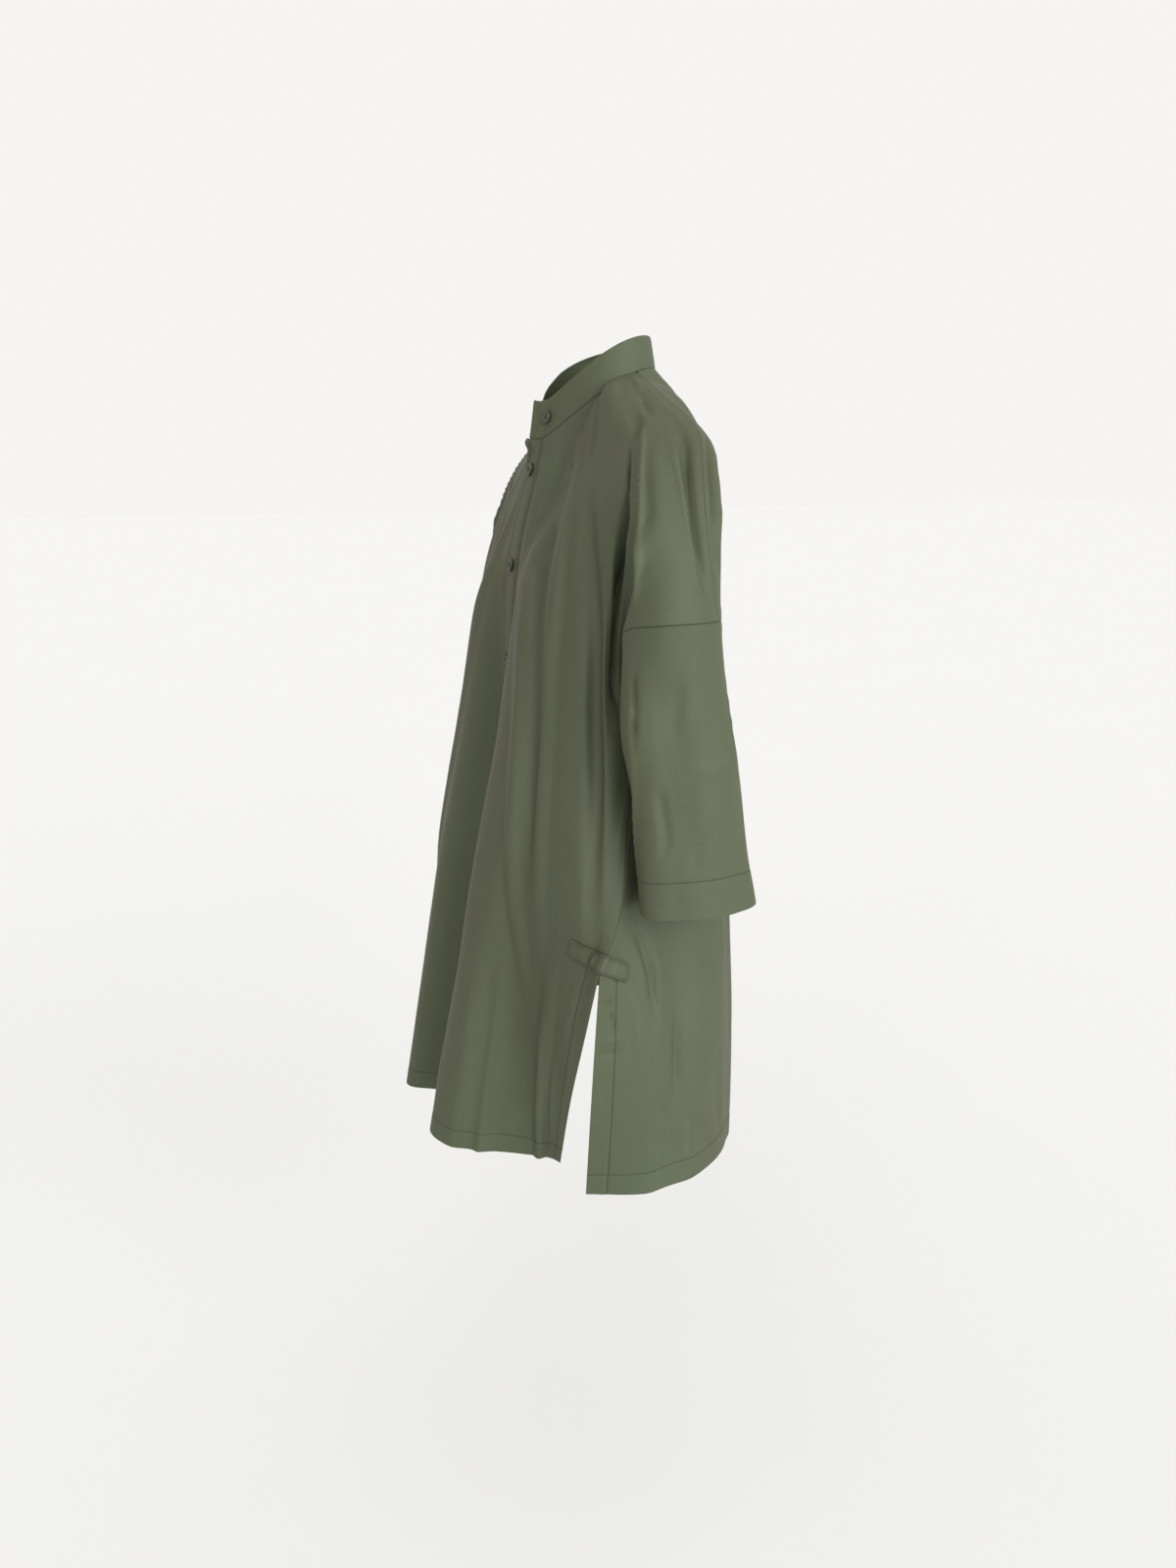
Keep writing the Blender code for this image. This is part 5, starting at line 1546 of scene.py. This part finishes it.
@dataclass
class VentTabs(ClothPieces):
    """A short tab over the top of each side vent, stitched down at both ends and bunched between."""

    thickness: float = 1.2 * MM
    cut: Cut = Cut(0.095, 0.020, 0.0018)
    creases: tuple[Wrinkle, ...] = (
        crease(3, -3.2, (0.27, -0.3), (0.29, 0.5), (0.28, 1.3)),
        roll(4, 2.6, (0.36, -0.3), (0.37, 0.5), (0.35, 1.3)),
        crease(3, -3.6, (0.43, -0.3), (0.45, 0.5), (0.44, 1.3)),
        roll(4, 2.2, (0.54, -0.3), (0.53, 0.5), (0.55, 1.3)),
        crease(3, -3.2, (0.62, -0.3), (0.61, 0.5), (0.63, 1.3)),
        tuck(3, -2.4, (0.80, -0.3), (0.81, 0.5), (0.79, 1.3)),
    )

    def build(self) -> None:
        """Make a tab on each side with its topstitching."""
        shares, across = np.linspace(0, 1, 76), np.linspace(-1, 1, 15)
        for side in Side:
            cloth = Cloth(self.form.vent_tab(shares, across, side), shares, (across + 1) / 2, -side.value)
            cloth.raise_by(cloth.wrinkled(self.creases))
            edge = np.min(cloth.from_edges(), axis=0)
            cloth.raise_by(-0.4 * MM * (1 - ease(edge / (1.5 * MM))))
            cloth.mark(edge - 2.2 * MM, 0.5)
            sewing = Sewing(self.thread, length=2.0 * MM, pitch=2.6 * MM)
            corners = ((0.03, 0.12), (0.97, 0.12), (0.97, 0.88), (0.03, 0.88), (0.03, 0.12))
            sewing.row(cloth, corners, 0.7 * MM)
            name = side.name.lower()
            self.finish(cloth, (f"vent_tab_{name}", "strip"), self.cut, "gathered",
                        (f"front_{name}_panel", "back_panel"), sewing)


@dataclass
class Buttons:
    """Seven dished buttons with four holes, sewn on with crossed thread."""

    resin: bpy.types.Material
    thread: bpy.types.Material
    radius: float = 7.4 * MM
    thickness: float = 3.0 * MM
    lift: float = 0.6 * MM
    cloth_half: float = 0.8 * MM
    hole_radius: float = 0.85 * MM
    hole_offset: float = 1.55 * MM
    strand: tuple[float, float, float] = (2.15 * MM, 0.55 * MM, 0.5 * MM)
    sides: int = 48
    sharp: float = math.radians(40)
    from_band_end: float = 21 * MM

    def turned(self) -> bmesh.types.BMesh:
        """Turn the button's section on a lathe: a rounded rim round a dished middle."""
        r, top = self.radius, 0.5 * self.thickness
        section = (
            (0.0, top - 1.0 * MM), (r - 3.2 * MM, top - 1.0 * MM), (r - 2.5 * MM, top - 0.9 * MM),
            (r - 2.0 * MM, top - 0.35 * MM), (r - 1.5 * MM, top - 0.05 * MM), (r - 1.0 * MM, top),
            (r - 0.5 * MM, top - 0.12 * MM), (r - 0.1 * MM, top - 0.6 * MM), (r, 0.0),
            (r - 0.3 * MM, -top + 0.7 * MM), (r - 1.2 * MM, -top + 0.15 * MM), (r - 2.4 * MM, -top),
            (0.0, -top),
        )
        mesh = bmesh.new()
        verts = [mesh.verts.new((x, 0, z)) for x, z in section]
        edges = [mesh.edges.new(pair) for pair in zip(verts[:-1], verts[1:])]
        bmesh.ops.spin(mesh, geom=verts + edges, cent=(0, 0, 0), axis=(0, 0, 1), angle=2 * math.pi,
                       steps=self.sides, use_merge=True)
        bmesh.ops.remove_doubles(mesh, verts=mesh.verts[:], dist=0.01 * MM)
        bmesh.ops.recalc_face_normals(mesh, faces=mesh.faces[:])
        return mesh

    def drilled(self) -> bpy.types.Mesh:
        """Drill the four holes through a turned button."""
        blank = as_object("button_blank", self.turned(), self.resin)
        drill = bmesh.new()
        for quarter in range(4):
            angle = math.pi / 4 + quarter * math.pi / 2
            bit = bmesh.ops.create_cone(drill, cap_ends=True, segments=14, radius1=self.hole_radius,
                                        radius2=self.hole_radius, depth=3 * self.thickness)
            centre = (self.hole_offset * math.cos(angle), self.hole_offset * math.sin(angle), 0)
            bmesh.ops.translate(drill, verts=bit["verts"], vec=centre)
        bits = as_object("button_drill", drill, self.resin)
        cut = blank.modifiers.new("holes", "BOOLEAN")
        cut.operation = "DIFFERENCE"
        cut.object = bits
        bpy.context.view_layer.update()
        data = bpy.data.meshes.new_from_object(blank.evaluated_get(bpy.context.evaluated_depsgraph_get()))
        for helper in (blank, bits):
            bpy.data.objects.remove(helper, do_unlink=True)
        return data

    def crossed_thread(self) -> bmesh.types.BMesh:
        """Lay two bundles of thread across the holes, diagonal over diagonal."""
        mesh = bmesh.new()
        for layer in range(2):
            verts = bmesh.ops.create_uvsphere(mesh, u_segments=12, v_segments=8, radius=1)["verts"]
            turn = Euler((0, 0, math.pi / 4 + layer * math.pi / 2)).to_matrix()
            level = 0.5 * self.thickness - 0.85 * MM + 0.3 * MM * layer
            bmesh.ops.scale(mesh, verts=verts, vec=self.strand)
            bmesh.ops.rotate(mesh, verts=verts, cent=(0, 0, 0), matrix=turn)
            bmesh.ops.translate(mesh, verts=verts, vec=(0, 0, level))
        return mesh

    def build(self, placket: Cloth, band: Cloth, levels: tuple[float, ...]) -> None:
        """Sew a button on the band and the rest down the placket.

        Args:
            placket: The upper placket.
            band: The standing band.
            levels: Heights of the placket's buttons.
        """
        resin = self.drilled()
        column = len(placket.columns) // 2
        depths = -placket.points[:, column, 2]
        band_column = int(np.argmin(np.abs(band.across[0] - band.across[0, 0] - self.from_band_end)))
        band_row = int(np.argmin(np.abs(band.rows - 0.5)))
        spots = [(band.points[band_row, band_column], band.normals()[band_row, band_column])]
        normals = placket.normals()
        for level in levels:
            row = int(np.argmin(np.abs(depths + level)))
            facing = unit(normals[max(row - 3, 0):row + 4, column].sum(axis=0))
            spots.append((placket.points[row, column], facing))
        for number, (spot, facing) in enumerate(spots, 1):
            self.sew_on(number, spot, facing, resin.copy())
        bpy.data.meshes.remove(resin)

    def sew_on(self, number: int, spot: np.ndarray, facing: np.ndarray, data: bpy.types.Mesh) -> None:
        """Put one button and its thread in place.

        Args:
            number: Which button it is.
            spot: Where it lies on the cloth.
            facing: The cloth's outward direction there.
            data: Its mesh, flat at the origin.
        """
        node = f"button_{number}"
        turn = Vector((0, 0, 1)).rotation_difference(Vector(facing)).to_matrix().to_4x4()
        turn.translation = Vector(spot + facing * (self.cloth_half + self.lift + self.thickness / 2))
        turn = turn @ Euler((0, 0, 0.7 * number)).to_matrix().to_4x4()
        data.transform(turn)
        disc = placed(f"{node}_disc", data)
        data.shade_smooth()
        data.set_sharp_from_angle(angle=self.sharp)
        strands = self.crossed_thread()
        bmesh.ops.transform(strands, matrix=turn, verts=strands.verts[:])
        ride(disc, node)
        ride(as_object(f"{node}_thread", strands, self.thread))
        LOG.info("%s sewn on", node)


@dataclass
class Studio:
    """A pale floor, soft light and the camera."""

    floor_level: float = -1.43
    floor_size: float = 60.0
    camera_place: tuple[float, float, float] = (1.34442, -0.54318, -0.09)
    camera_turn: tuple[float, float, float] = (74.4, 0.0, 68.32)
    lens: float = 26.66
    sensor: float = 36.0
    backdrop: str = "#F5F4F2"
    backdrop_strength: float = 1.0
    softness: float = math.radians(60)
    key_from: tuple[float, float, float] = (0.90, 0.36, 0.10)
    key: float = 4.3
    fill_from: tuple[float, float, float] = (0.75, -0.40, 0.50)
    fill: float = 0.6

    def floor(self) -> None:
        """Lay the floor."""
        mesh = bmesh.new()
        bmesh.ops.create_grid(mesh, x_segments=2, y_segments=2, size=self.floor_size / 2)
        bmesh.ops.translate(mesh, verts=mesh.verts[:], vec=(0, 0, self.floor_level))
        as_object("studio_floor", mesh, PaleFloor().make())

    def light(self, name: str, source: tuple[float, float, float], strength: float) -> None:
        """Add a large, distant softbox, which lights the whole floor evenly.

        Args:
            name: Its name.
            source: The direction that it shines from.
            strength: Its light on a surface that faces it.
        """
        lamp = bpy.data.lights.new(name, "SUN")
        lamp.angle = self.softness
        lamp.energy = strength
        placed(name, lamp).rotation_euler = (-Vector(source)).to_track_quat("-Z", "Y").to_euler()

    def sky(self) -> None:
        """Set the backdrop's even light."""
        world = bpy.data.worlds.new("studio")
        bpy.context.scene.world = world
        world.use_nodes = True
        backdrop = world.node_tree.nodes["Background"]
        backdrop.inputs["Color"].default_value = linear(self.backdrop)
        backdrop.inputs["Strength"].default_value = self.backdrop_strength

    def camera(self) -> None:
        """Set up the camera level with the top of the chest, looking down a little."""
        lens = bpy.data.cameras.new("camera")
        lens.lens = self.lens
        lens.sensor_width = self.sensor
        camera = placed("camera", lens)
        camera.location = self.camera_place
        camera.rotation_euler = Euler([math.radians(a) for a in self.camera_turn])
        bpy.context.scene.camera = camera

    def build(self) -> None:
        """Set up the floor, the lights, the backdrop and the camera."""
        self.floor()
        self.light("key_light", self.key_from, self.key)
        self.light("fill_light", self.fill_from, self.fill)
        self.sky()
        self.camera()
        bpy.context.scene.view_settings.view_transform = "Standard"


def main() -> None:
    """Build the studio and every piece of the garment."""
    logging.basicConfig(level=logging.INFO, format="%(message)s")
    Studio().build()
    poplin, thread, resin = ShotPoplin().make(), SpunThread().make(), ResinButton().make()
    makings = (WornForm(), poplin, thread)
    band = Band(*makings).build()
    Panels(*makings).build()
    Sleeves(*makings).build()
    plackets = Plackets(*makings)
    placket = plackets.build()
    VentTabs(*makings).build()
    Buttons(resin, thread).build(placket, band, plackets.button_levels)


if __name__ == "__main__":
    main()
